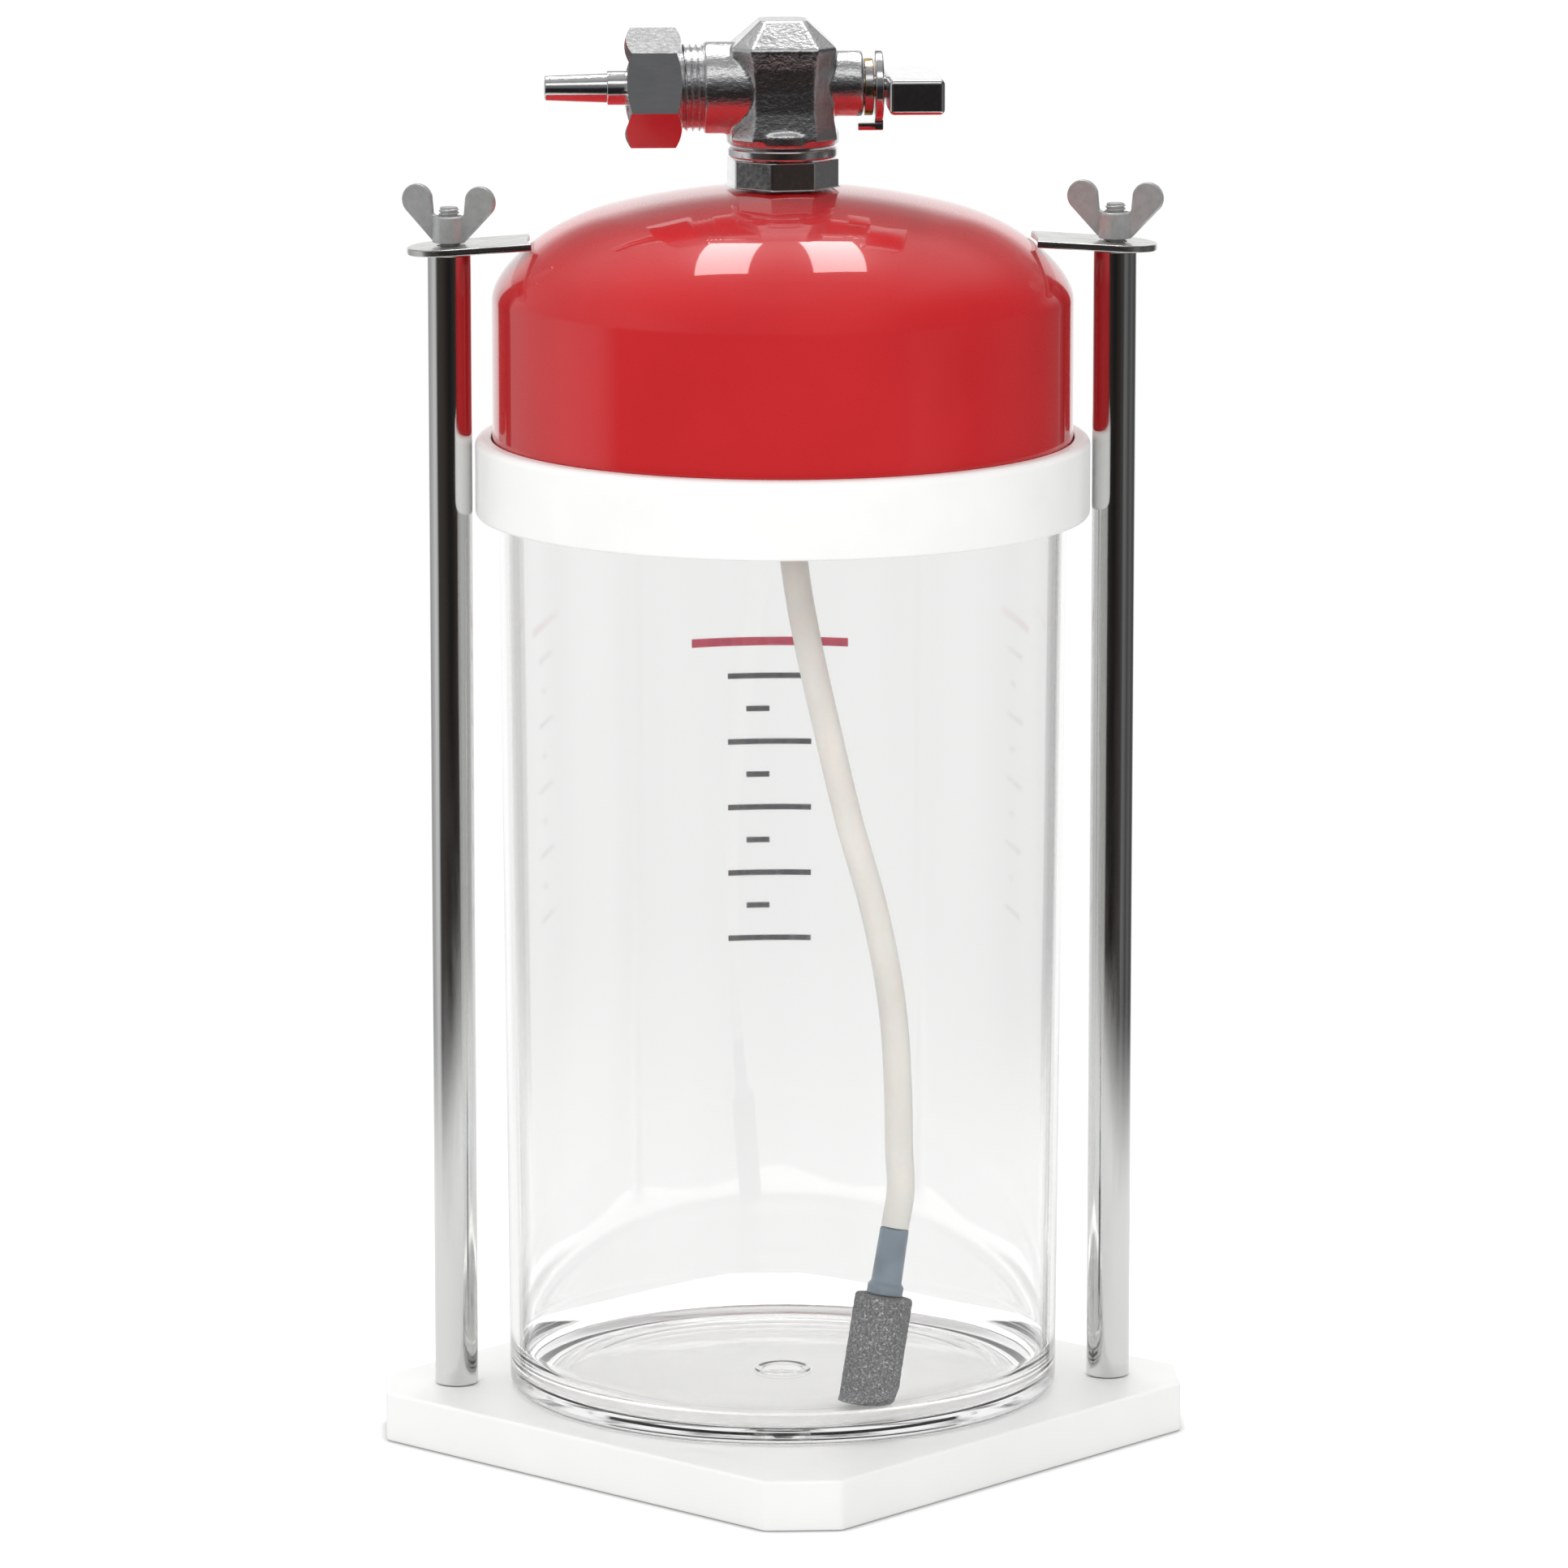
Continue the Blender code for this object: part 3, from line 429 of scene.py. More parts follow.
def field(heights, radius, seg, axis="Z", centre=(0, 0, 0), bore=0.0):
    """Solid whose radius is a function of height and angle, on rings at the given heights."""
    bm = bmesh.new()
    rows = []
    for h in heights:
        rows.append([bm.verts.new((radius(h, 2 * math.pi * k / seg) * math.cos(2 * math.pi * k / seg),
                                   radius(h, 2 * math.pi * k / seg) * math.sin(2 * math.pi * k / seg), h))
                     for k in range(seg)])
    for a, b in zip(rows, rows[1:]):
        for k in range(seg):
            k2 = (k + 1) % seg
            bm.faces.new((a[k], a[k2], b[k2], b[k]))
    if bore:
        ends = []
        for h in (heights[0], heights[-1]):
            ends.append([bm.verts.new((bore * math.cos(2 * math.pi * k / seg),
                                       bore * math.sin(2 * math.pi * k / seg), h)) for k in range(seg)])
        lo, hi = ends
        for k in range(seg):
            k2 = (k + 1) % seg
            bm.faces.new((rows[0][k2], rows[0][k], lo[k], lo[k2]))
            bm.faces.new((rows[-1][k], rows[-1][k2], hi[k2], hi[k]))
            bm.faces.new((lo[k2], lo[k], hi[k], hi[k2]))
    else:
        c0 = bm.verts.new((0, 0, heights[0]))
        c1 = bm.verts.new((0, 0, heights[-1]))
        for k in range(seg):
            k2 = (k + 1) % seg
            bm.faces.new((rows[0][k2], rows[0][k], c0))
            bm.faces.new((rows[-1][k], rows[-1][k2], c1))
    bmesh.ops.transform(bm, matrix=Matrix.Translation(centre) @ AXES[axis], verts=bm.verts)
    return bm


def thread_form(h, a, pitch, depth):
    """Depth below the crest of a rounded 60 degree thread, at height h and angle a."""
    q = (h / pitch - a / (2 * math.pi)) % 1.0
    t = abs(2 * q - 1)                     # 0 in the root, 1 at the crest
    t = min(1.0, max(0.0, (t - 0.08) / 0.80))
    return depth * (1 - t)


def prism(outline, z0, z1):
    bm = bmesh.new()
    lo = [bm.verts.new((x, y, z0)) for x, y in outline]
    hi = [bm.verts.new((x, y, z1)) for x, y in outline]
    bm.faces.new(list(reversed(lo)))
    bm.faces.new(hi)
    n = len(outline)
    for i in range(n):
        j = (i + 1) % n
        bm.faces.new((lo[i], lo[j], hi[j], hi[i]))
    return bm


def soft_edges(bm, offset, segments=3, pick=None, angle=25.0):
    """Bevel every edge sharper than an angle, or those picked."""
    bm.normal_update()
    if pick is None:
        edges = [e for e in bm.edges if len(e.link_faces) == 2
                 and e.calc_face_angle(0.0) > math.radians(angle)]
    else:
        edges = [e for e in bm.edges if pick(e)]
    bmesh.ops.bevel(bm, geom=edges, offset=offset, offset_type="OFFSET", segments=segments,
                    profile=0.5, affect="EDGES", clamp_overlap=True)
    return bm


def loft(sections):
    bm = bmesh.new()
    rows = [[bm.verts.new(p) for p in s] for s in sections]
    bm.faces.new(list(reversed(rows[0])))
    bm.faces.new(rows[-1])
    for a, b in zip(rows, rows[1:]):
        n = len(a)
        for i in range(n):
            j = (i + 1) % n
            bm.faces.new((a[i], a[j], b[j], b[i]))
    return bm


def block(cx, cy, cz, sx, sy, sz):
    bm = bmesh.new()
    bmesh.ops.create_cube(bm, size=1.0)
    bmesh.ops.transform(bm, matrix=Matrix.Translation((cx, cy, cz)) @ Matrix.Diagonal((sx, sy, sz, 1.0)),
                        verts=bm.verts)
    return bm


def solid(name, bm, mat=None):
    """bmesh in millimetres -> object with a mesh in metres."""
    bmesh.ops.remove_doubles(bm, verts=bm.verts, dist=1e-5)
    bmesh.ops.recalc_face_normals(bm, faces=bm.faces)
    me = bpy.data.meshes.new(name)
    bm.to_mesh(me)
    bm.free()
    me.transform(Matrix.Scale(MM, 4))
    ob = bpy.data.objects.new(name, me)
    bpy.context.scene.collection.objects.link(ob)
    if mat:
        me.materials.append(MATS[mat].m)
    return ob


def bake_modifiers(ob):
    dg = bpy.context.evaluated_depsgraph_get()
    me = bpy.data.meshes.new_from_object(ob.evaluated_get(dg))
    ob.modifiers.clear()
    old = ob.data
    name = old.name
    ob.data = me
    bpy.data.meshes.remove(old)
    me.name = name
    return ob


def combine(ob, bm, op):
    tool = solid("tool", bm) if isinstance(bm, bmesh.types.BMesh) else bm
    mod = ob.modifiers.new("b", "BOOLEAN")
    mod.operation = op
    mod.solver = "EXACT"
    mod.object = tool
    bake_modifiers(ob)
    bpy.data.objects.remove(tool, do_unlink=True)
    return ob


def cut(ob, *bms):
    for b in bms:
        combine(ob, b, "DIFFERENCE")
    return ob


def join(ob, *bms):
    for b in bms:
        combine(ob, b, "UNION")
    return ob


def finish_piece(ob, body, replaces=(), angle=32.0, weighted=True):
    ob.data.shade_smooth()
    ob.data.set_sharp_from_angle(angle=math.radians(angle))
    if weighted:
        w = ob.modifiers.new("weighted", "WEIGHTED_NORMAL")
        w.keep_sharp = True
        w.weight = 60
    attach(ob, body)
    if replaces:
        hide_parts(*replaces)
    return ob


# ------------------------------------------------- dip hose, nipple and stone
axis = (STONE_TOP - STONE_BOTTOM).normalized()
stone_l = (STONE_TOP - STONE_BOTTOM).length
on_axis = Vector((0, 0, 1)).rotation_difference(axis).to_matrix().to_4x4()
hose_end = STONE_TOP + axis * (NIPPLE_L + 2.4 * GAP)
ROUTE = [Vector(p) for p in (
    (0.0, 0.0, HOSE_TOP_Z), (0.0, -0.4, 326.0), (0.4, -2.6, 305.0), (1.2, -6.0, 283.0),
    (2.9, -10.7, 259.3), (6.5, -15.1, 237.3), (12.0, -20.4, 212.0), (17.8, -26.0, 187.0),
    (24.2, -31.4, 164.0), (28.2, -36.0, 144.4), (30.2, -40.0, 127.3), (30.9, -43.9, 110.2),
    (30.9, -48.3, 94.5))] + [hose_end + axis * 11.0, hose_end]


def smooth_route(pts, step):
    ext = [pts[0] * 2 - pts[1]] + pts + [pts[-1] * 2 - pts[-2]]
    fine = []
    for i in range(1, len(ext) - 2):
        p0, p1, p2, p3 = ext[i - 1:i + 3]
        for k in range(24):
            t = k / 24
            fine.append(0.5 * ((2 * p1) + (p2 - p0) * t + (2 * p0 - 5 * p1 + 4 * p2 - p3) * t * t
                               + (3 * p1 - p0 - 3 * p2 + p3) * t ** 3))
    fine.append(pts[-1].copy())
    total = [0.0]
    for a, b in zip(fine, fine[1:]):
        total.append(total[-1] + (b - a).length)
    n = max(2, round(total[-1] / step))
    out = []
    j = 0
    for k in range(n + 1):
        want = total[-1] * k / n
        while j < len(total) - 2 and total[j + 1] < want:
            j += 1
        f = (want - total[j]) / max(1e-9, total[j + 1] - total[j])
        out.append(fine[j].lerp(fine[j + 1], min(1.0, f)))
    return out


def hose_tube(points, ro, ri, seg):
    """Hollow tube swept along points, with flat annular ends."""
    bm = bmesh.new()
    n = len(points)
    tan = [(points[min(i + 1, n - 1)] - points[max(i - 1, 0)]).normalized() for i in range(n)]
    u = tan[0].orthogonal().normalized()
    outer, inner = [], []
    for i in range(n):
        if i:
            u = (tan[i - 1].rotation_difference(tan[i]).to_matrix() @ u).normalized()
        v = tan[i].cross(u).normalized()
        outer.append([bm.verts.new(points[i] + (u * math.cos(a) + v * math.sin(a)) * ro)
                      for a in [2 * math.pi * k / seg for k in range(seg)]])
        inner.append([bm.verts.new(points[i] + (u * math.cos(a) + v * math.sin(a)) * ri)
                      for a in [2 * math.pi * k / seg for k in range(seg)]])
    for rows in (outer, inner):
        for a, b in zip(rows, rows[1:]):
            for k in range(seg):
                k2 = (k + 1) % seg
                bm.faces.new((a[k], a[k2], b[k2], b[k]))
    for o, i in ((outer[0], inner[0]), (outer[-1], inner[-1])):
        for k in range(seg):
            k2 = (k + 1) % seg
            bm.faces.new((o[k], o[k2], i[k2], i[k]))
    return bm


route = smooth_route(ROUTE, 3.0)
hose = solid("dip_hose", hose_tube(route, HOSE_R, HOSE_RI, 40), "silicone")
finish_piece(hose, "lid", ("hose",), weighted=False)


def placed(bm, start):
    bmesh.ops.transform(bm, matrix=Matrix.Translation(STONE_BOTTOM + axis * start) @ on_axis,
                        verts=bm.verts)
    return bm


def stone_mesh():
    """Sintered cylinder: rounded ends and every point pushed in by a grain height."""
    seg, edge = 260, 1.0
    prof = []
    for k in range(16):                      # bottom disc
        prof.append(((STONE_R - edge) * k / 16, 0.0))
    prof += [(STONE_R - edge + edge * math.sin(a), edge - edge * math.cos(a))
             for a in [math.pi / 2 * k / 6 for k in range(7)]]
    nh = 140
    prof += [(STONE_R, edge + (stone_l - 2 * edge) * k / nh) for k in range(1, nh)]
    prof += [(STONE_R - edge + edge * math.cos(a), stone_l - edge + edge * math.sin(a))
             for a in [math.pi / 2 * k / 6 for k in range(7)]]
    for k in range(15, -1, -1):
        prof.append(((STONE_R - edge) * k / 16, stone_l))
    bm = turned(prof, seg)
    bmesh.ops.remove_doubles(bm, verts=bm.verts, dist=1e-5)
    bmesh.ops.recalc_face_normals(bm, faces=bm.faces)
    bm.normal_update()
    for v in bm.verts:
        g = noise.noise(v.co * 1.25) * 0.5 + noise.noise(v.co * 2.6) * 0.35 + noise.noise(v.co * 0.35) * 0.25
        v.co -= v.normal * (0.20 + 0.30 * g)
    return bm


stone = solid("air_stone_grain", placed(stone_mesh(), 0), "stone")
finish_piece(stone, "lid", ("air_stone",), angle=60, weighted=False)

nip_prof = [(0, 0), (5.2, 0, 0.3), (5.2, 2.4, 0.5), (4.35, 3.6, 0.8), (4.1, NIPPLE_L, 0.35),
            (2.35, NIPPLE_L, 0.1), (2.2, NIPPLE_L + 7.0, 0.5), (0, NIPPLE_L + 7.0)]
nipple = solid("nipple_moulded", placed(turned(rounded(nip_prof), 64), stone_l + GAP), "nipple")
finish_piece(nipple, "lid", ("stone_nipple",))

# ------------------------------------------------------------------ base plate
half = PLATE_SIDE / math.sqrt(2)
leg = PLATE_CUT / math.sqrt(2)
outline = [(half - leg, -leg), (half - leg, leg), (leg, half - leg), (-leg, half - leg),
           (-half + leg, leg), (-half + leg, -leg), (-leg, -half + leg), (leg, -half + leg)]
bm = prism(outline, 0.0, PLATE_T)
soft_edges(bm, 1.1, 4, pick=lambda e: max(v.co.z for v in e.verts) > 1)
soft_edges(bm, 0.5, 2, pick=lambda e: all(abs(v.co.z) < 1e-4 for v in e.verts))
plate = solid("base_plate_moulded", bm, "plate")
for s in (-1, 1):
    cut(plate, round_rod(POCKET_R, -3.0, POCKET_D, 64, 0.6, centre=(s * ROD_X, 0, 0)),
        rod(HOLE_R, 1.0, PLATE_T + 1, 40, centre=(s * ROD_X, 0, 0)))
finish_piece(plate, "stand", ("base_plate",))

# -------------------------------------------------- tubes, rods, base fixings


def stud_heights():
    hs = []
    h = STUD_Z0
    while h < 16.0:
        hs.append(h)
        h += 0.125
    hs += [16.0 + 0.01, 60.0, 180.0, 300.0, 335.99]
    h = 336.0
    while h < STUD_Z1 - 1e-6:
        hs.append(h)
        h += 0.125
    hs.append(STUD_Z1)
    return hs


def stud_radius(h, a):
    cham = min(h - STUD_Z0, STUD_Z1 - h)
    top = STUD_R if cham > 0.8 else STUD_R - (0.8 - cham) * 0.75
    if 16.0 < h < 336.0:
        return 2.66
    run = min(1.0, max(0.0, (16.0 - h) / 1.0 if h <= 16.0 else (h - 336.0) / 1.0))
    return min(top, 2.66 + (STUD_R - thread_form(h, a, 1.0, 0.58) - 2.66) * run)


def hex_nut(name, af, z0, z1, bore, centre, mat, cham=0.9):
    r = af / 2 / math.cos(math.pi / 6)
    ob = solid(name, rod(r, z0, z1, 6, centre=centre), mat)
    k = af / 2 - 0.15
    combine(ob, turned([(0, z0), (k, z0), (r + 0.4, z0 + cham), (r + 0.4, z1 - cham), (k, z1), (0, z1)],
                       72, centre=centre), "INTERSECT")
    cut(ob, turned([(0, z0 - 1), (bore + 1.5, z0 - 1), (bore, z0 + 0.5), (bore, z1 - 0.5),
                    (bore + 1.5, z1 + 1), (0, z1 + 1)], 48, centre=centre))
    return ob


for s, side in ((-1, "left"), (1, "right")):
    c = (s * ROD_X, 0, 0)
    tube = solid(side + "_tube_polished",
                 pipe(TUBE_RI, TUBE_R, PLATE_T + GAP, TUBE_TOP, 96, centre=c, rad=0.35), "tube")
    finish_piece(tube, "stand", (side + "_tube",))
    stud = solid(side + "_rod_threaded", field(stud_heights(), stud_radius, 36, centre=c), "zinc")
    finish_piece(stud, "stand", (side + "_threaded_rod",), angle=50, weighted=False)
    nut = hex_nut(side + "_base_nut_hex", 10.0, 1.2, 6.0, STUD_R + 0.15, c, "zinc")
    finish_piece(nut, "stand", (side + "_base_nut",), angle=25)
    wash = solid(side + "_base_washer_flat", pipe(HOLE_R - 0.1, 6.2, 6.3, 7.5, 64, centre=c), "zinc")
    finish_piece(wash, "stand", (side + "_base_washer",))

# ------------------------------------------------------------------------- jar
zi = JAR_Z0 + JAR_FLOOR
ri0 = JAR_R0 - JAR_WALL
jar_pts = [(0, JAR_Z0 + 0.5), (59.0, JAR_Z0 + 0.5), (60.2, JAR_Z0), (JAR_R0 - 0.02, JAR_Z0, 2.6),
           (JAR_R1, JAR_TOP, 0.8), (JAR_R1 - JAR_WALL, JAR_TOP, 0.8)]
prof = rounded(jar_pts, 8)
prof += list(reversed([(ri0 - JAR_FILLET + JAR_FILLET * math.sin(a), zi + JAR_FILLET * (1 - math.cos(a)))
                       for a in [math.pi / 2 * k / 18 for k in range(19)]]))
prof += [(64.2, zi), (63.9, zi + 0.25), (63.0, zi + 0.25), (62.6, zi), (30.0, zi),
         (8.6, zi), (8.2, zi + 0.30), (7.6, zi + 0.34), (6.8, zi + 0.10)]
prof += [(6.0 * math.cos(a), zi + 0.10 + 0.95 * math.sin(a)) for a in [math.pi / 2 * k / 8 for k in range(8)]]
prof += [(0, zi + 1.05)]
jar = solid("jar_clear_wall", turned(prof, 192), "clear")
finish_piece(jar, "jar", ("jar",), angle=40)


def jar_r(z):
    return JAR_R0 + (JAR_R1 - JAR_R0) * (z - JAR_Z0) / (JAR_TOP - JAR_Z0)


def printed_bar(bm, a0, a1, z0, z1, steps=24, t=0.10):
    """Thin ink patch wrapped on the outside of the jar; angles in degrees from +Y."""
    rows = []
    for k in range(steps + 1):
        a = math.radians(90 - (a0 + (a1 - a0) * k / steps))
        row = []
        for z, dr in ((z0, 0.04), (z0, 0.04 + t), (z1, 0.04 + t), (z1, 0.04)):
            r = jar_r(z) + dr
            row.append(bm.verts.new((r * math.cos(a), r * math.sin(a), z)))
        rows.append(row)
    for a, b in zip(rows, rows[1:]):
        for i in range(4):
            j = (i + 1) % 4
            bm.faces.new((a[i], a[j], b[j], b[i]))
    bm.faces.new(rows[0])
    bm.faces.new(list(reversed(rows[-1])))


bm = bmesh.new()
for k in range(9):                                   # plain filling scale on the back wall
    z = 130.0 + 10.0 * k
    w = 9.0 if k % 2 == 0 else 5.0
    printed_bar(bm, -w, w if k % 2 == 0 else 0.0, z, z + 1.7)
scale = solid("jar_level_marks", bm, "print")
finish_piece(scale, "jar", weighted=False)
bm = bmesh.new()
printed_bar(bm, -17.0, 17.0, 220.0, 222.6, 48)
top_mark = solid("jar_level_mark_top", bm, "print_red")
finish_piece(top_mark, "jar", weighted=False)

# ------------------------------------------------------------------------- lid
ring_pts = [(RING_SKIRT_RI, RING_Z0, 0.3), (RING_R, RING_Z0, 1.1), (RING_R, RING_Z1, 2.2),
            (DOME_R + GAP, RING_Z1, 0.5), (DOME_R + GAP, RING_WEB_Z1), (RING_WEB_RI, RING_WEB_Z1, 0.4),
            (RING_WEB_RI, RING_WEB_Z0, 0.4), (RING_SKIRT_RI, RING_WEB_Z0)]
ring = solid("lid_ring_turned", turned(rounded(ring_pts, 6), 192), "ring")
finish_piece(ring, "lid", ("lid_ring",))
gasket = solid("lid_gasket_flat", pipe(GASKET_RI, JAR_R1, JAR_TOP + GAP, RING_WEB_Z0 - GAP, 160, rad=0.3),
               "rubber")
finish_piece(gasket, "lid", ("lid_gasket",))


def dome_z(r):
    z = DOME_APEX - r * r / (2 * DOME_CROWN_R)
    if r > DOME_SHOULDER_R0:
        q = min(1.0, (r - DOME_SHOULDER_R0) / (DOME_R - DOME_SHOULDER_R0))
        z -= DOME_SHOULDER_H * (1 - math.sqrt(max(0.0, 1 - q * q)))
    return z


radii = [DOME_HOLE_R + (DOME_SHOULDER_R0 - DOME_HOLE_R) * k / 14 for k in range(15)]
radii += [DOME_SHOULDER_R0 + (DOME_R - DOME_SHOULDER_R0) * math.sin(math.pi / 2 * k / 36) for k in range(1, 37)]
outer = [(r, dome_z(r)) for r in radii]
inner = []
for i, (r, z) in enumerate(outer):
    a, b = outer[max(i - 1, 0)], outer[min(i + 1, len(outer) - 1)]
    if i == len(outer) - 1:
        nr, nz = 1.0, 0.0
    else:
        t = Vector((b[0] - a[0], b[1] - a[1])).normalized()
        nr, nz = -t.y, t.x
    inner.append((r if i == 0 else r - DOME_T * nr, z - DOME_T * nz))
wall = [DOME_Z0 + 0.5 + (outer[-1][1] - DOME_Z0 - 0.5) * (1 - k / 8) for k in range(1, 9)]
prof = outer + [(DOME_R, z) for z in wall]
prof += [(DOME_R - 0.15, DOME_Z0 + 0.15), (DOME_R - 0.5, DOME_Z0), (DOME_R - DOME_T + 0.5, DOME_Z0),
         (DOME_R - DOME_T + 0.15, DOME_Z0 + 0.15)]
prof += [(DOME_R - DOME_T, z) for z in reversed(wall)] + list(reversed(inner))
dome = solid("dome_enamelled", turned(prof, 192), "red")
finish_piece(dome, "lid", ("dome",), weighted=False)

oct_r = COLLAR_AF / 2 / math.cos(math.pi / 8)
oct_phase = math.pi / 8 + math.radians(8.7)
bm = rod(oct_r, COLLAR_Z0, COLLAR_Z1, 8, phase=oct_phase)
soft_edges(bm, 0.45, 3)
collar = solid("neck_collar_octagon", bm, "chrome")
join(collar, rod(NECK_R, NECK_Z0, COLLAR_Z0 + 2, 96, cham=0.4))
cut(collar, rod(8.6, 370.6, COLLAR_Z1 + 1, 96), rod(NECK_BORE, NECK_Z0 - 1, 372, 48))
finish_piece(collar, "lid", ("neck_collar",), angle=28)
nut = hex_nut("neck_nut_hex", NECK_NUT_AF, 359.2, 365.0, NECK_R + 0.15, (0, 0, 0), "zinc", 1.1)
finish_piece(nut, "lid", ("neck_nut",), angle=25)
wash = solid("neck_washer_turned", pipe(8.6, WASHER_R, COLLAR_Z1 + 0.4, WASHER_Z1, 128, rad=0.7), "chrome")
finish_piece(wash, "lid", ("neck_washer",))

# -------------------------------------------------------------- valve body


def chamfered_square(w, c, z):
    pts = [(w, -(w - c)), (w, w - c), (w - c, w), (-(w - c), w),
           (-w, w - c), (-w, -(w - c)), (-(w - c), -w), (w - c, -w)]
    return [Vector((x, y, z)) for x, y in pts]


def valve():
    secs = [chamfered_square(15.4, 6.2, BODY_Z0 + 2.0), chamfered_square(15.0, 6.0, BODY_Z0 + 4.4),
            chamfered_square(14.7, 6.0, 386.5), chamfered_square(14.1, 5.8, 390.5),
            chamfered_square(13.9, 5.6, 397.0), chamfered_square(14.3, 5.6, 403.0),
            chamfered_square(15.15, 5.5, 408.6), chamfered_square(6.75, 1.5, BODY_TOP - 0.05)]
    ob = solid("valve_body_cast", loft(secs), "cast")
    join(ob, rod(FLANGE_R + 0.05, BODY_Z0, 384.8, 64, cham=0.8),
         rod(ARM_R + 0.05, ARM_X, 0, 64, "X", (0, 0, AX_Z), cham=0.5),
         rod(BOSS_R + 0.05, 0, BOSS_X, 48, "X", (0, 0, AX_Z + BOSS_DZ), cham=0.5))
    r = ob.modifiers.new("r", "REMESH")
    r.mode = "VOXEL"
    r.voxel_size = 0.42 * MM
    r.adaptivity = 0.0
    bake_modifiers(ob)
    sm = ob.modifiers.new("s", "SMOOTH")
    sm.factor = 0.5
    sm.iterations = 9
    bake_modifiers(ob)
    hs = []
    h = THREAD_X
    while h < -21.0:
        hs.append(h)
        h += 1.814 / 10
    hs.append(-21.0)

    def thr(h, a):
        top = THREAD_R if h - THREAD_X > 1.0 else THREAD_R - (1.0 - (h - THREAD_X)) * 0.9
        run = min(1.0, max(0.0, (-22.9 - h) / 0.5))
        return min(top, THREAD_R - thread_form(h + 0.5, a, 1.814, 1.05) * run - 0.6 * (1 - run))
    join(ob, field(hs, thr, 120, "X", (0, 0, AX_Z)), rod(8.2, 371.0, BODY_Z0 + 2, 64, cham=0.4))
    ball_room = turned([(0, -CHAMBER_R)] + [(CHAMBER_R * math.cos(a), CHAMBER_R * math.sin(a)) for a in
                                            [math.pi * (k / 12 - 0.5) for k in range(1, 12)]]
                       + [(0, CHAMBER_R)], 40, "X", (0, 0, AX_Z))
    tool = solid("hollow", ball_room)
    join(tool, rod(CHAMBER_R + 0.1, THREAD_X - 1, 0.5, 40, "X", (0, 0, AX_Z)),
         rod(STEM_R + GAP, 5.0, BOSS_X + 1, 32, "X", (0, 0, AX_Z)),
         rod(6.0, 12.2, BOSS_X + 1, 40, "X", (0, 0, AX_Z)),
         rod(PORT_R, 370.0, AX_Z, 32))
    combine(ob, tool, "DIFFERENCE")
    return ob


body = valve()
finish_piece(body, "lid", ("valve_body",), angle=45, weighted=False)

gland = turned(rounded([(STEM_R + GAP, 15.0), (5.7, 15.0, 0.3), (5.7, BOSS_X + GAP), (8.2, BOSS_X + GAP, 0.3),
                        (8.2, 25.9, 0.4), (STEM_R + GAP, 25.9, 0.3)], 3), 64, "X", (0, 0, AX_Z))
finish_piece(solid("gland_nut_turned", gland, "gland"), "lid", ("gland_nut",))

fit_prof = rounded([(1.8, 331.0), (2.15, 331.0, 0.2), (2.42, 333.5, 0.1), (2.15, 336.0), (2.15, 337.0),
                    (2.42, 339.5, 0.1), (2.15, 342.0), (2.2, 345.0), (5.6, 345.0, 0.2), (6.2, 345.8, 0.2),
                    (6.2, 350.5), (7.6, 350.5, 0.3), (7.6, 356.7, 0.3), (4.2, 356.7), (4.2, 364.0, 0.2),
                    (1.8, 364.0)], 3)
finish_piece(solid("hose_fitting_barbed", turned(fit_prof, 64), "brass"), "lid", ("hose_fitting",))

# ------------------------------------------------------------- lever group
stem = solid("spindle_turned", round_rod(STEM_R, 7.6, 40.0, 48, 0.3, "X", (0, 0, AX_Z)), "chrome")
join(stem, block(6.9, 0, AX_Z, 3.4, 5.6, 2.3))
finish_piece(stem, "lever", ("spindle",))

lp = solid("lever_plate_pressed", round_rod(10.5, 26.2, 28.7, 96, 0.6, "X", (0, 0, AX_Z)), "chrome")
tab = block(25.05, 0, 385.55, 7.3, 10.0, 2.3)
soft_edges(tab, 1.5, 4, pick=lambda e: all(v.co.z < 385 and v.co.y < 0 for v in e.verts))
soft_edges(tab, 0.3, 2, angle=50)
join(lp, tab,
     soft_edges(block(27.45, 0, 388.4, 2.5, 9.9, 7.6), 0.35, 3))
cut(lp, rod(STEM_R + GAP, 25, 30, 40, "X", (0, 0, AX_Z)))
finish_piece(lp, "lever", ("lever_plate",))

bm = block((LEVER_X0 + LEVER_X1) / 2, (LEVER_BACK + LEVER_FRONT) / 2, AX_Z,
           LEVER_X1 - LEVER_X0, LEVER_BACK - LEVER_FRONT, LEVER_T)
soft_edges(bm, 1.5, 6)
lever = solid("lever_handle_cast", bm, "chrome")
cut(lever, rod(STEM_R + GAP, LEVER_X0 - 1, 41.0, 40, "X", (0, 0, AX_Z)),
    rod(4.0, 40.3, LEVER_X1 + 1, 48, "X", (0, 0, AX_Z)))
finish_piece(lever, "lever", ("lever_handle",))

screw = solid("lever_screw_slotted", round_rod(3.6, 40.6, 44.0, 48, 0.5, "X", (0, 0, AX_Z)), "zinc")
cut(screw, block(44.0, 0, AX_Z, 2.2, 8.0, 1.0))
finish_piece(screw, "lever", ("lever_screw",))

# ------------------------------------------------------- nozzle, union nut
noz_prof = rounded([(NOZ_BORE, NOZ_TIP_X, 0.3), (NOZ_R_TIP, NOZ_TIP_X, 0.45), (NOZ_R_ROOT, NOZ_ROOT_X),
                    (NOZ_HUB_R, NOZ_ROOT_X, 0.4), (NOZ_HUB_R, -42.4), (NOZ_FLANGE_R, -42.4, 0.3),
                    (NOZ_FLANGE_R, -40.3, 0.3), (NOZ_BORE, -40.3)], 4)
finish_piece(solid("nozzle_turned", turned(noz_prof, 96, "X", (0, 0, AX_Z)), "chrome"), "nozzle",
             ("nozzle",))

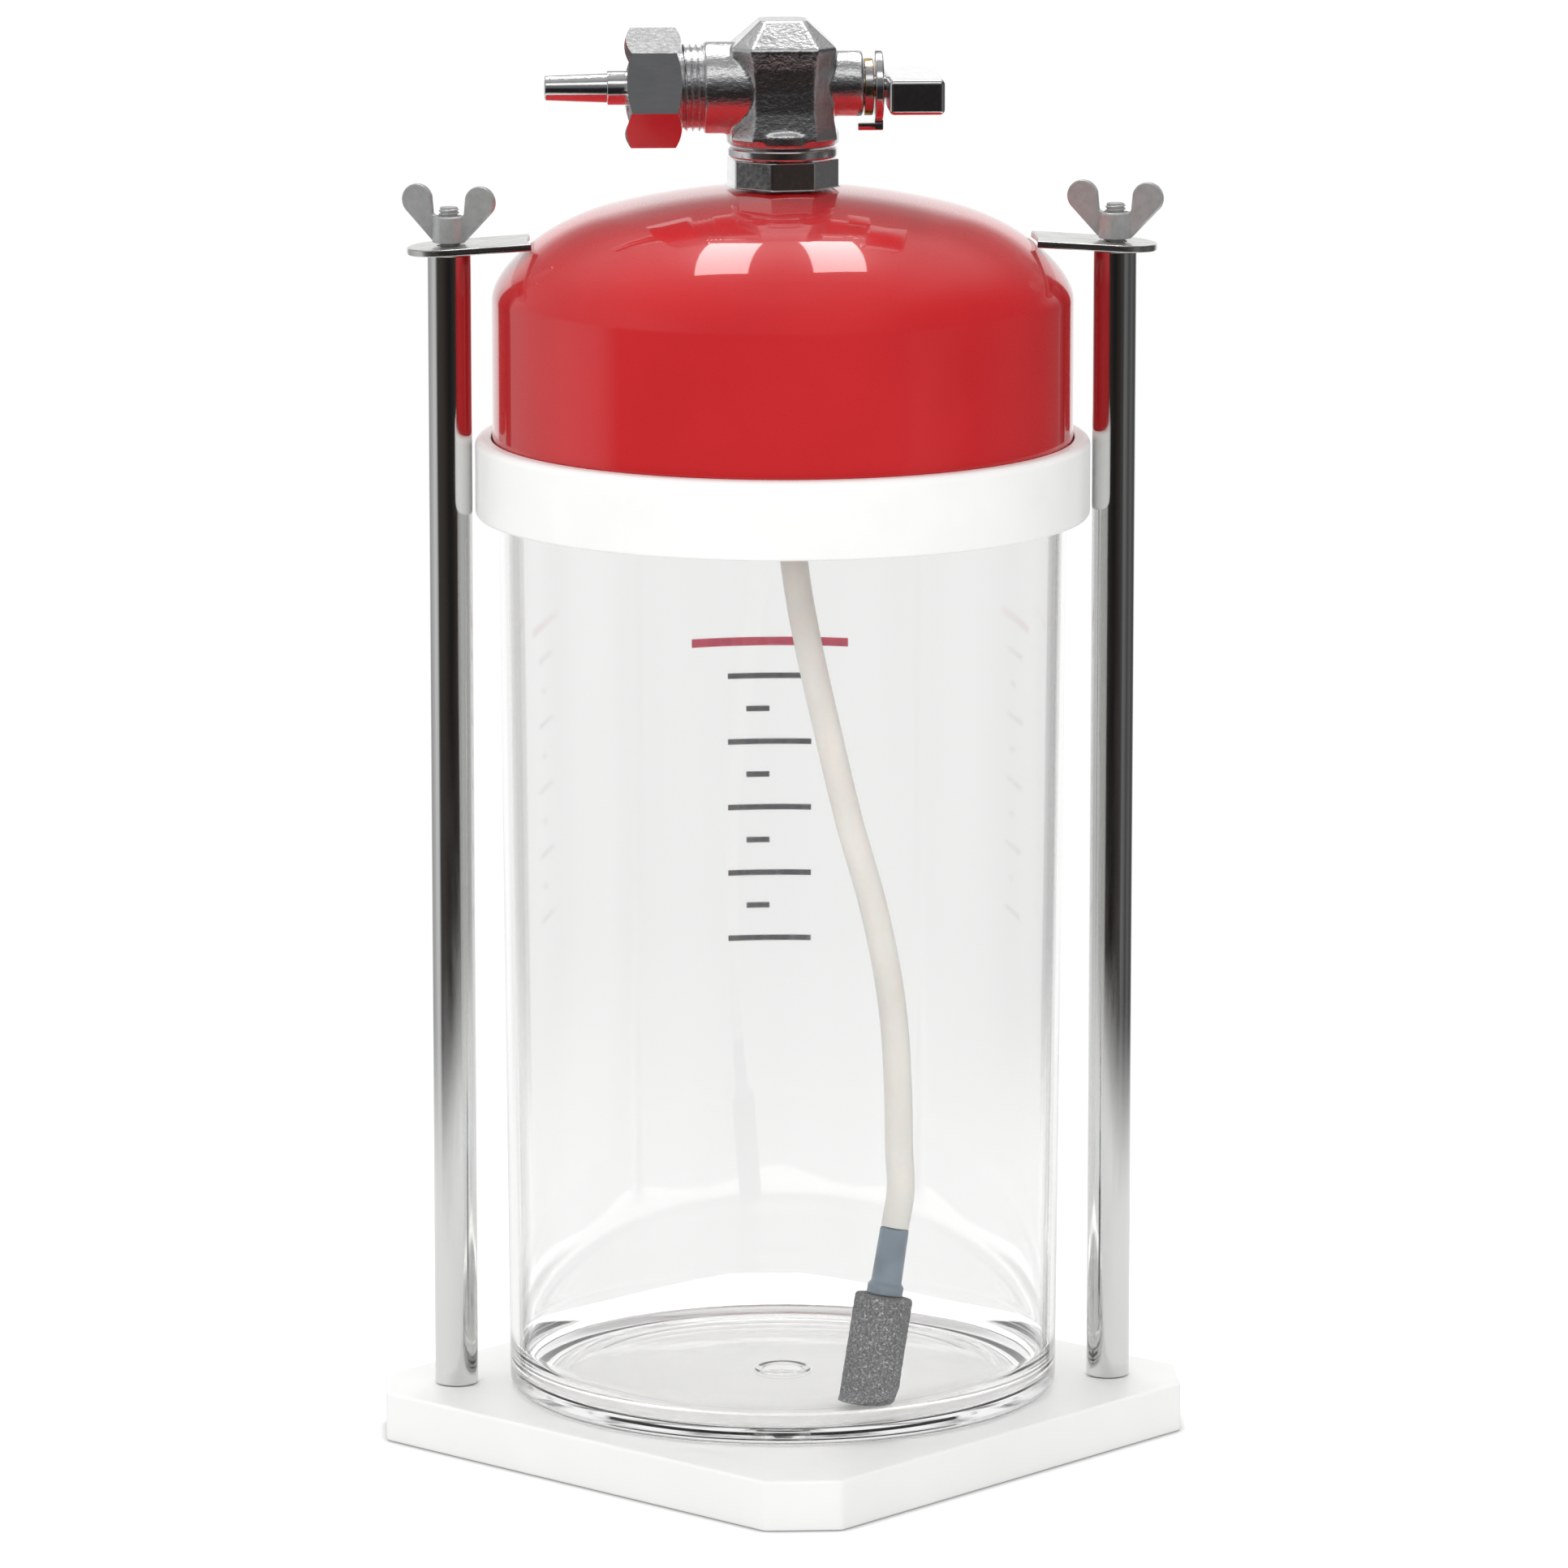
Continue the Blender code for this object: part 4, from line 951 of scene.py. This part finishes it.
nut_r = NUT_AF / 2 / math.cos(math.pi / 6)
un = solid("union_nut_hex", rod(nut_r, NUT_X0, NUT_X1, 6, "X", (0, 0, AX_Z), phase=math.radians(-NUT_TILT)),
           "chrome")
k = NUT_AF / 2 - 0.2
combine(un, turned([(0, NUT_X0), (k, NUT_X0), (nut_r + 0.5, NUT_X0 + 1.9), (nut_r + 0.5, NUT_X1 - 1.9),
                    (k, NUT_X1), (0, NUT_X1)], 144, "X", (0, 0, AX_Z)), "INTERSECT")
cut(un, rod(NUT_BORE, NUT_X0 + NUT_WALL, NUT_X1 + 1, 96, "X", (0, 0, AX_Z)),
    rod(NOZ_HUB_R + 0.45, NUT_X0 - 1, NUT_X1, 64, "X", (0, 0, AX_Z)))
bv = un.modifiers.new("edge", "BEVEL")
bv.width = 0.22 * MM
bv.segments = 2
bv.limit_method = "ANGLE"
bv.angle_limit = math.radians(24)
finish_piece(un, "union_nut", ("union_nut",), angle=24)

# -------------------------------------------------- clamp ears, wing nuts


def ear_outline(s):
    w = EAR_W / 2
    pts = []
    for k in range(33):
        a = math.pi / 2 + math.pi * k / 32
        pts.append((w * math.cos(a), w * math.sin(a)))
    for k in range(17):
        y = -w + 2 * w * k / 16
        pts.append((ROD_X - math.sqrt(EAR_TOE_R ** 2 - y * y), y))
    if s > 0:
        pts = [(-x, y) for x, y in reversed(pts)]
    return pts


def wing_outline(side):
    """One wing in its own plane: u outwards, v up, a rounded lobe on a tapered neck."""
    c = Vector((9.8, 11.9))
    lobe = 4.6
    pts = [(3.0, 7.2), (3.0, 0.6), (4.9, 0.25)]
    for k in range(25):
        a = math.radians(-46 + (164 + 46) * k / 24)
        pts.append((c.x + lobe * math.cos(a), c.y + lobe * math.sin(a)))
    pts.append((4.9, 8.0))
    return [(side * u, v) for u, v in pts]


for s, side in ((-1, "left"), (1, "right")):
    bm = prism(ear_outline(s), 0.0, EAR_T)
    soft_edges(bm, 0.35, 3, angle=60)
    ear = solid(side + "_clamp_ear_sheet", bm, "ear")
    cut(ear, rod(HOLE_R, -2, 5, 48))
    tilt = Matrix.Rotation(math.radians(s * EAR_TILT), 4, "Y")
    ear.data.transform(Matrix.Translation((s * ROD_X * MM, 0, EAR_BOTTOM * MM)) @ tilt)
    finish_piece(ear, side + "_clamp", (side + "_clamp_ear",))

    c = (s * ROD_X, 0, WING_Z0)
    hub = solid(side + "_wing_nut_formed",
                turned(rounded([(0, 0), (WING_HUB_R, 0, 0.3), (WING_HUB_R - 0.25, WING_HUB_H, 0.8),
                                (0, WING_HUB_H)]), 64), "zinc")
    for w in (-1, 1):
        wb = prism(wing_outline(w), -1.1, 1.1)
        bmesh.ops.recalc_face_normals(wb, faces=wb.faces)
        soft_edges(wb, 0.5, 3, angle=50)
        bmesh.ops.transform(wb, matrix=Matrix.Rotation(math.pi / 2, 4, "X"), verts=wb.verts)
        join(hub, wb)
    cut(hub, turned([(0, -1), (STUD_R + 1.6, -1), (STUD_R + 0.12, 0.6), (STUD_R + 0.12, WING_HUB_H - 0.6),
                     (STUD_R + 1.6, WING_HUB_H + 1), (0, WING_HUB_H + 1)], 48))
    hub.data.transform(Matrix.Translation(Vector(c) * MM) @
                       Matrix.Rotation(math.radians(WING_TURN[s]), 4, "Z"))
    finish_piece(hub, side + "_wing_nut", (side + "_wing_nut",), angle=40)

# ---------------------------------------------- CAD nodes that stay as they are
for node, mat in (("ball_seat", "ptfe"), ("seat_retainer", "brass"), ("stem_seal", "rubber"),
                  ("valve_ball", "chrome"), ("nozzle_gasket", "rubber")):
    ob = NODES[node]
    if not ob.material_slots:
        ob.data.materials.append(MATS[mat].m)
    for sl in ob.material_slots:
        sl.material = MATS[mat].m

# ----------------------------------------------------------------- studio
scene = bpy.context.scene
scene.view_settings.view_transform = "Standard"
scene.view_settings.look = "None"
scene.view_settings.exposure = 0.0
scene.view_settings.gamma = 1.0
if hasattr(scene, "cycles"):                 # light travels a long way inside the jar's floor
    scene.cycles.max_bounces = 32
    scene.cycles.glossy_bounces = 16
    scene.cycles.transmission_bounces = 24
    scene.cycles.transparent_max_bounces = 12

# round white table top, fading out at its rim
bm = bmesh.new()
rings = []
for r in (0.0, 0.2, 0.4, 0.5, 0.6, 0.72):
    rings.append([bm.verts.new((0, 0, 0))] if r == 0 else
                 [bm.verts.new((r * math.cos(2 * math.pi * k / 96), r * math.sin(2 * math.pi * k / 96), 0))
                  for k in range(96)])
for a, b in zip(rings, rings[1:]):
    for k in range(96):
        k2 = (k + 1) % 96
        bm.faces.new((a[0], b[k], b[k2]) if len(a) == 1 else (a[k], b[k], b[k2], a[k2]))
me = bpy.data.meshes.new("table_top")
bm.to_mesh(me)
bm.free()
me.transform(Matrix.Translation((0, 0, -0.0002)))
table = bpy.data.objects.new("table_top", me)
scene.collection.objects.link(table)
tm = bpy.data.materials.new("table_white")
tm.use_nodes = True
nt = tm.node_tree
nt.nodes.clear()
out = nt.nodes.new("ShaderNodeOutputMaterial")
dif = nt.nodes.new("ShaderNodeBsdfDiffuse")
dif.inputs["Color"].default_value = (0.36, 0.36, 0.36, 1)
emi = nt.nodes.new("ShaderNodeEmission")
emi.inputs["Color"].default_value = (1, 1, 0.995, 1)
emi.inputs["Strength"].default_value = 0.62
add = nt.nodes.new("ShaderNodeAddShader")
tra = nt.nodes.new("ShaderNodeBsdfTransparent")
mix = nt.nodes.new("ShaderNodeMixShader")
tc = nt.nodes.new("ShaderNodeTexCoord")
ln = nt.nodes.new("ShaderNodeVectorMath")
ln.operation = "LENGTH"
mr = nt.nodes.new("ShaderNodeMapRange")
mr.interpolation_type = "SMOOTHSTEP"
mr.inputs["From Min"].default_value = 0.36
mr.inputs["From Max"].default_value = 0.68
nt.links.new(tc.outputs["Object"], ln.inputs[0])
lpt = nt.nodes.new("ShaderNodeLightPath")
lift = nt.nodes.new("ShaderNodeMapRange")
lift.inputs["To Min"].default_value = 0.48
lift.inputs["To Max"].default_value = 0.76
nt.links.new(lpt.outputs["Is Camera Ray"], lift.inputs["Value"])
# painted contact shadow: ambient occlusion dims the table's glow where the plate stands on it
contact_shadow_ao = nt.nodes.new("ShaderNodeAmbientOcclusion")
contact_shadow_ao.inputs["Distance"].default_value = 0.004
contact_shadow_ao.samples = 4
dark = nt.nodes.new("ShaderNodeMapRange")
dark.inputs["From Min"].default_value = 0.45
dark.inputs["From Max"].default_value = 0.90
dark.inputs["To Min"].default_value = 0.25
nt.links.new(contact_shadow_ao.outputs["AO"], dark.inputs["Value"])
lowered = nt.nodes.new("ShaderNodeMath")
lowered.operation = "MULTIPLY"
nt.links.new(lift.outputs["Result"], lowered.inputs[0])
nt.links.new(dark.outputs["Result"], lowered.inputs[1])
nt.links.new(lowered.outputs[0], emi.inputs["Strength"])
nt.links.new(ln.outputs["Value"], mr.inputs["Value"])
nt.links.new(dif.outputs[0], add.inputs[0])
nt.links.new(emi.outputs[0], add.inputs[1])
flat = nt.nodes.new("ShaderNodeEmission")          # through the clear jar the table is an even pale ground
flat.inputs["Color"].default_value = (0.955, 0.957, 0.953, 1)
through = nt.nodes.new("ShaderNodeMixShader")
nt.links.new(lpt.outputs["Is Transmission Ray"], through.inputs[0])
nt.links.new(add.outputs[0], through.inputs[1])
nt.links.new(flat.outputs[0], through.inputs[2])
nt.links.new(mr.outputs["Result"], mix.inputs[0])
nt.links.new(through.outputs[0], mix.inputs[1])
nt.links.new(tra.outputs[0], mix.inputs[2])
nt.links.new(mix.outputs[0], out.inputs["Surface"])
me.materials.append(tm)

# two overhead soft boxes behind the object, a little to the left and right


def panel(name, corners, strength):
    bm = bmesh.new()
    bm.faces.new([bm.verts.new(c) for c in corners])
    me = bpy.data.meshes.new(name)
    bm.to_mesh(me)
    bm.free()
    ob = bpy.data.objects.new(name, me)
    scene.collection.objects.link(ob)
    m = bpy.data.materials.new(name)
    m.use_nodes = True
    t = m.node_tree
    t.nodes.clear()
    o = t.nodes.new("ShaderNodeOutputMaterial")
    e = t.nodes.new("ShaderNodeEmission")
    e.inputs["Strength"].default_value = strength
    e.inputs["Color"].default_value = (1.0, 0.985, 0.98, 1)
    t.links.new(e.outputs[0], o.inputs["Surface"])
    me.materials.append(m)
    ob.visible_camera = False
    ob.visible_transmission = False
    ob.visible_shadow = False
    return ob


def yawed(p):
    """Point in camera-aligned axes -> object frame."""
    return Matrix.Rotation(-YAW, 3, "Z") @ Vector(p)


H = 1.2
for name, rays in (("softbox_left", (((-0.020, -0.056, 0.356), (-0.133, 0.649, 0.749)),
                                     ((-0.006, -0.059, 0.356), (-0.036, 0.634, 0.772)),
                                     ((-0.010, -0.071, 0.352), (-0.113, 0.201, 0.973)),
                                     ((-0.025, -0.068, 0.351), (-0.286, 0.226, 0.931)))),
                   ("softbox_right", (((0.004, -0.058, 0.357), (0.027, 0.662, 0.749)),
                                      ((0.019, -0.055, 0.357), (0.119, 0.673, 0.730)),
                                      ((0.024, -0.067, 0.352), (0.260, 0.274, 0.926)),
                                      ((0.009, -0.071, 0.352), (0.099, 0.214, 0.972))))):
    pts = []
    for p, d in rays:
        k = H / d[2]
        pts.append(yawed([p[i] + d[i] * k for i in range(3)]))
    panel(name, pts, 7.5)

# a lamp above the camera that picks out the rounded edges of the valve
VALVE = bpy.data.collections.new("valve_pieces")
scene.collection.children.link(VALVE)
for nm in ("valve_body_cast", "nozzle_turned", "union_nut_hex", "gland_nut_turned", "lever_plate_pressed",
           "lever_handle_cast", "neck_washer_turned", "neck_collar_octagon"):
    VALVE.objects.link(bpy.data.objects[nm])
ld = bpy.data.lights.new("front_lamp", "AREA")
ld.shape = "RECTANGLE"
ld.size = 0.60
ld.size_y = 0.15
ld.energy = 1.1 * math.pi * 0.60 * 0.15
lamp = bpy.data.objects.new("front_lamp", ld)
scene.collection.objects.link(lamp)
aim = Vector(yawed((0.0, -math.cos(math.radians(44)), math.sin(math.radians(44)))))
lamp.location = Vector((0, 0, AX_Z * MM)) + aim * 0.5
lamp.rotation_euler = (-aim).to_track_quat("-Z", "Y").to_euler()
lamp.visible_camera = False
lamp.visible_transmission = False
lamp.light_linking.receiver_collection = VALVE

# surroundings: white behind, dark studio in front, grey above
world = bpy.data.worlds.new("studio")
scene.world = world
world.use_nodes = True
nt = world.node_tree
nt.nodes.clear()
L = nt.links.new


def wmath(op, a, b=0.0):
    n = nt.nodes.new("ShaderNodeMath")
    n.operation = op
    for i, v in enumerate((a, b)):
        if isinstance(v, (int, float)):
            n.inputs[i].default_value = v
        else:
            L(v, n.inputs[i])
    return n.outputs[0]


def wspan(v, a, b, lo=0.0, hi=1.0, smooth=True):
    n = nt.nodes.new("ShaderNodeMapRange")
    n.interpolation_type = "SMOOTHSTEP" if smooth else "LINEAR"
    for k, x in (("From Min", a), ("From Max", b), ("To Min", lo), ("To Max", hi)):
        n.inputs[k].default_value = x
    L(v, n.inputs["Value"])
    return n.outputs["Result"]


def wmix(f, a, b):
    n = nt.nodes.new("ShaderNodeMix")
    n.data_type = "RGBA"
    if isinstance(f, (int, float)):
        n.inputs[0].default_value = f
    else:
        L(f, n.inputs[0])
    for sock, c in ((n.inputs[6], a), (n.inputs[7], b)):
        if isinstance(c, tuple):
            sock.default_value = (*c, 1.0)
        else:
            L(c, sock)
    return n.outputs[2]


def wramp(v, stops):
    n = nt.nodes.new("ShaderNodeValToRGB")
    r = n.color_ramp
    r.interpolation = "LINEAR"
    while len(r.elements) > 1:
        r.elements.remove(r.elements[-1])
    first = True
    for pos, c in stops:
        c = (c, c, c) if isinstance(c, (int, float)) else c
        if first:
            e = r.elements[0]
            e.position = pos
            first = False
        else:
            e = r.elements.new(pos)
        e.color = (*c, 1.0)
    L(v, n.inputs["Fac"])
    return n.outputs["Color"]


tc = nt.nodes.new("ShaderNodeTexCoord")
rot = nt.nodes.new("ShaderNodeMapping")
rot.vector_type = "TEXTURE"
rot.inputs["Rotation"].default_value = (0, 0, -YAW)
L(tc.outputs["Generated"], rot.inputs["Vector"])
sep = nt.nodes.new("ShaderNodeSeparateXYZ")
L(rot.outputs["Vector"], sep.inputs[0])
dx, dy, dz = sep.outputs[0], sep.outputs[1], sep.outputs[2]
az = wmath("ARCTAN2", dx, wmath("MULTIPLY", dy, -1.0))
pos = wmath("ADD", wmath("DIVIDE", az, 2 * math.pi), 0.5)
WHITE = 1.05
low = wramp(pos, [
    (0.000, WHITE), (0.065, WHITE), (0.090, 0.42), (0.128, 0.40), (0.200, 0.52), (0.2417, 0.66),
    (0.278, 0.60), (0.292, 0.45), (0.312, 0.05), (0.40, (0.045, 0.036, 0.030)),
    (0.47, (0.020, 0.017, 0.016)), (0.50, (0.013, 0.013, 0.014)), (0.53, (0.020, 0.017, 0.016)),
    (0.585, (0.040, 0.032, 0.028)), (0.630, 0.06), (0.655, 0.17), (0.690, 0.13), (0.722, 0.07),
    (0.780, 0.13), (0.842, 0.07), (0.890, 0.12), (0.925, WHITE), (1.000, WHITE)])
front_up = wramp(dz, [(0.0, 0.03), (0.05, 0.05), (0.19, (0.095, 0.10, 0.11)), (0.30, 0.14), (0.45, 0.17),
                      (0.70, 0.18), (0.90, 0.27), (1.0, 0.42)])
back_up = wramp(dz, [(0.0, WHITE), (0.12, 1.15), (0.20, 1.12), (0.26, 0.66), (0.31, 0.34), (0.40, 0.21),
                     (0.52, 0.26), (0.60, 0.42), (0.66, 0.56), (0.76, 0.60), (0.87, 0.58), (0.95, 0.47), (1.0, 0.42)])
up = wmix(wspan(dy, -0.25, 0.45), front_up, back_up)
up = wmix(wmath("MULTIPLY", wspan(dx, -0.85, -0.40, 1.0, 0.0), wspan(dz, 0.75, 0.95, 1.0, 0.0)), up,
          (0.40, 0.40, 0.40))
up = wmix(wmath("MULTIPLY", wspan(dx, 0.40, 0.85), wspan(dz, 0.75, 0.95, 1.0, 0.0)), up,
          (0.07, 0.065, 0.065))
env = wmix(wspan(dz, 0.00, 0.22), low, up)
lp_ = nt.nodes.new("ShaderNodeLightPath")
lit = wmix(wspan(dz, -0.5, 0.9), (0.74, 0.74, 0.74), (1.20, 1.20, 1.20))
lit = wmix(wspan(dx, 0.2, 0.9), lit, (0.66, 0.66, 0.66))
lit = wmix(wspan(dy, -0.95, 0.1), (1.38, 1.375, 1.36), lit)
depth = lp_.outputs["Transmission Depth"]
inside = wmath("ADD", wspan(depth, 4.5, 5.5, 1.0, 2.0),
               wmath("MULTIPLY", wmath("MINIMUM", depth, 1.0), 1.6))
gain = nt.nodes.new("ShaderNodeVectorMath")
gain.operation = "SCALE"
L(lit, gain.inputs[0])
L(inside, gain.inputs["Scale"])
lit = gain.outputs[0]
glassy = wmix(0.55, env, (0.78, 0.78, 0.78))
seen = wmix(lp_.outputs["Is Transmission Ray"], env, wmix(wspan(dy, 0.3, 0.7), glassy, (0.965, 0.967, 0.963)))
col = wmix(wmath("MINIMUM", lp_.outputs["Diffuse Depth"], 1.0), seen, lit)
col = wmix(lp_.outputs["Is Camera Ray"], col, (1.02, 1.02, 1.02))
if hasattr(world, "cycles"):
    world.cycles.sampling_method = "NONE"
bg = nt.nodes.new("ShaderNodeBackground")
L(col, bg.inputs["Color"])
wo = nt.nodes.new("ShaderNodeOutputWorld")
L(bg.outputs[0], wo.inputs["Surface"])
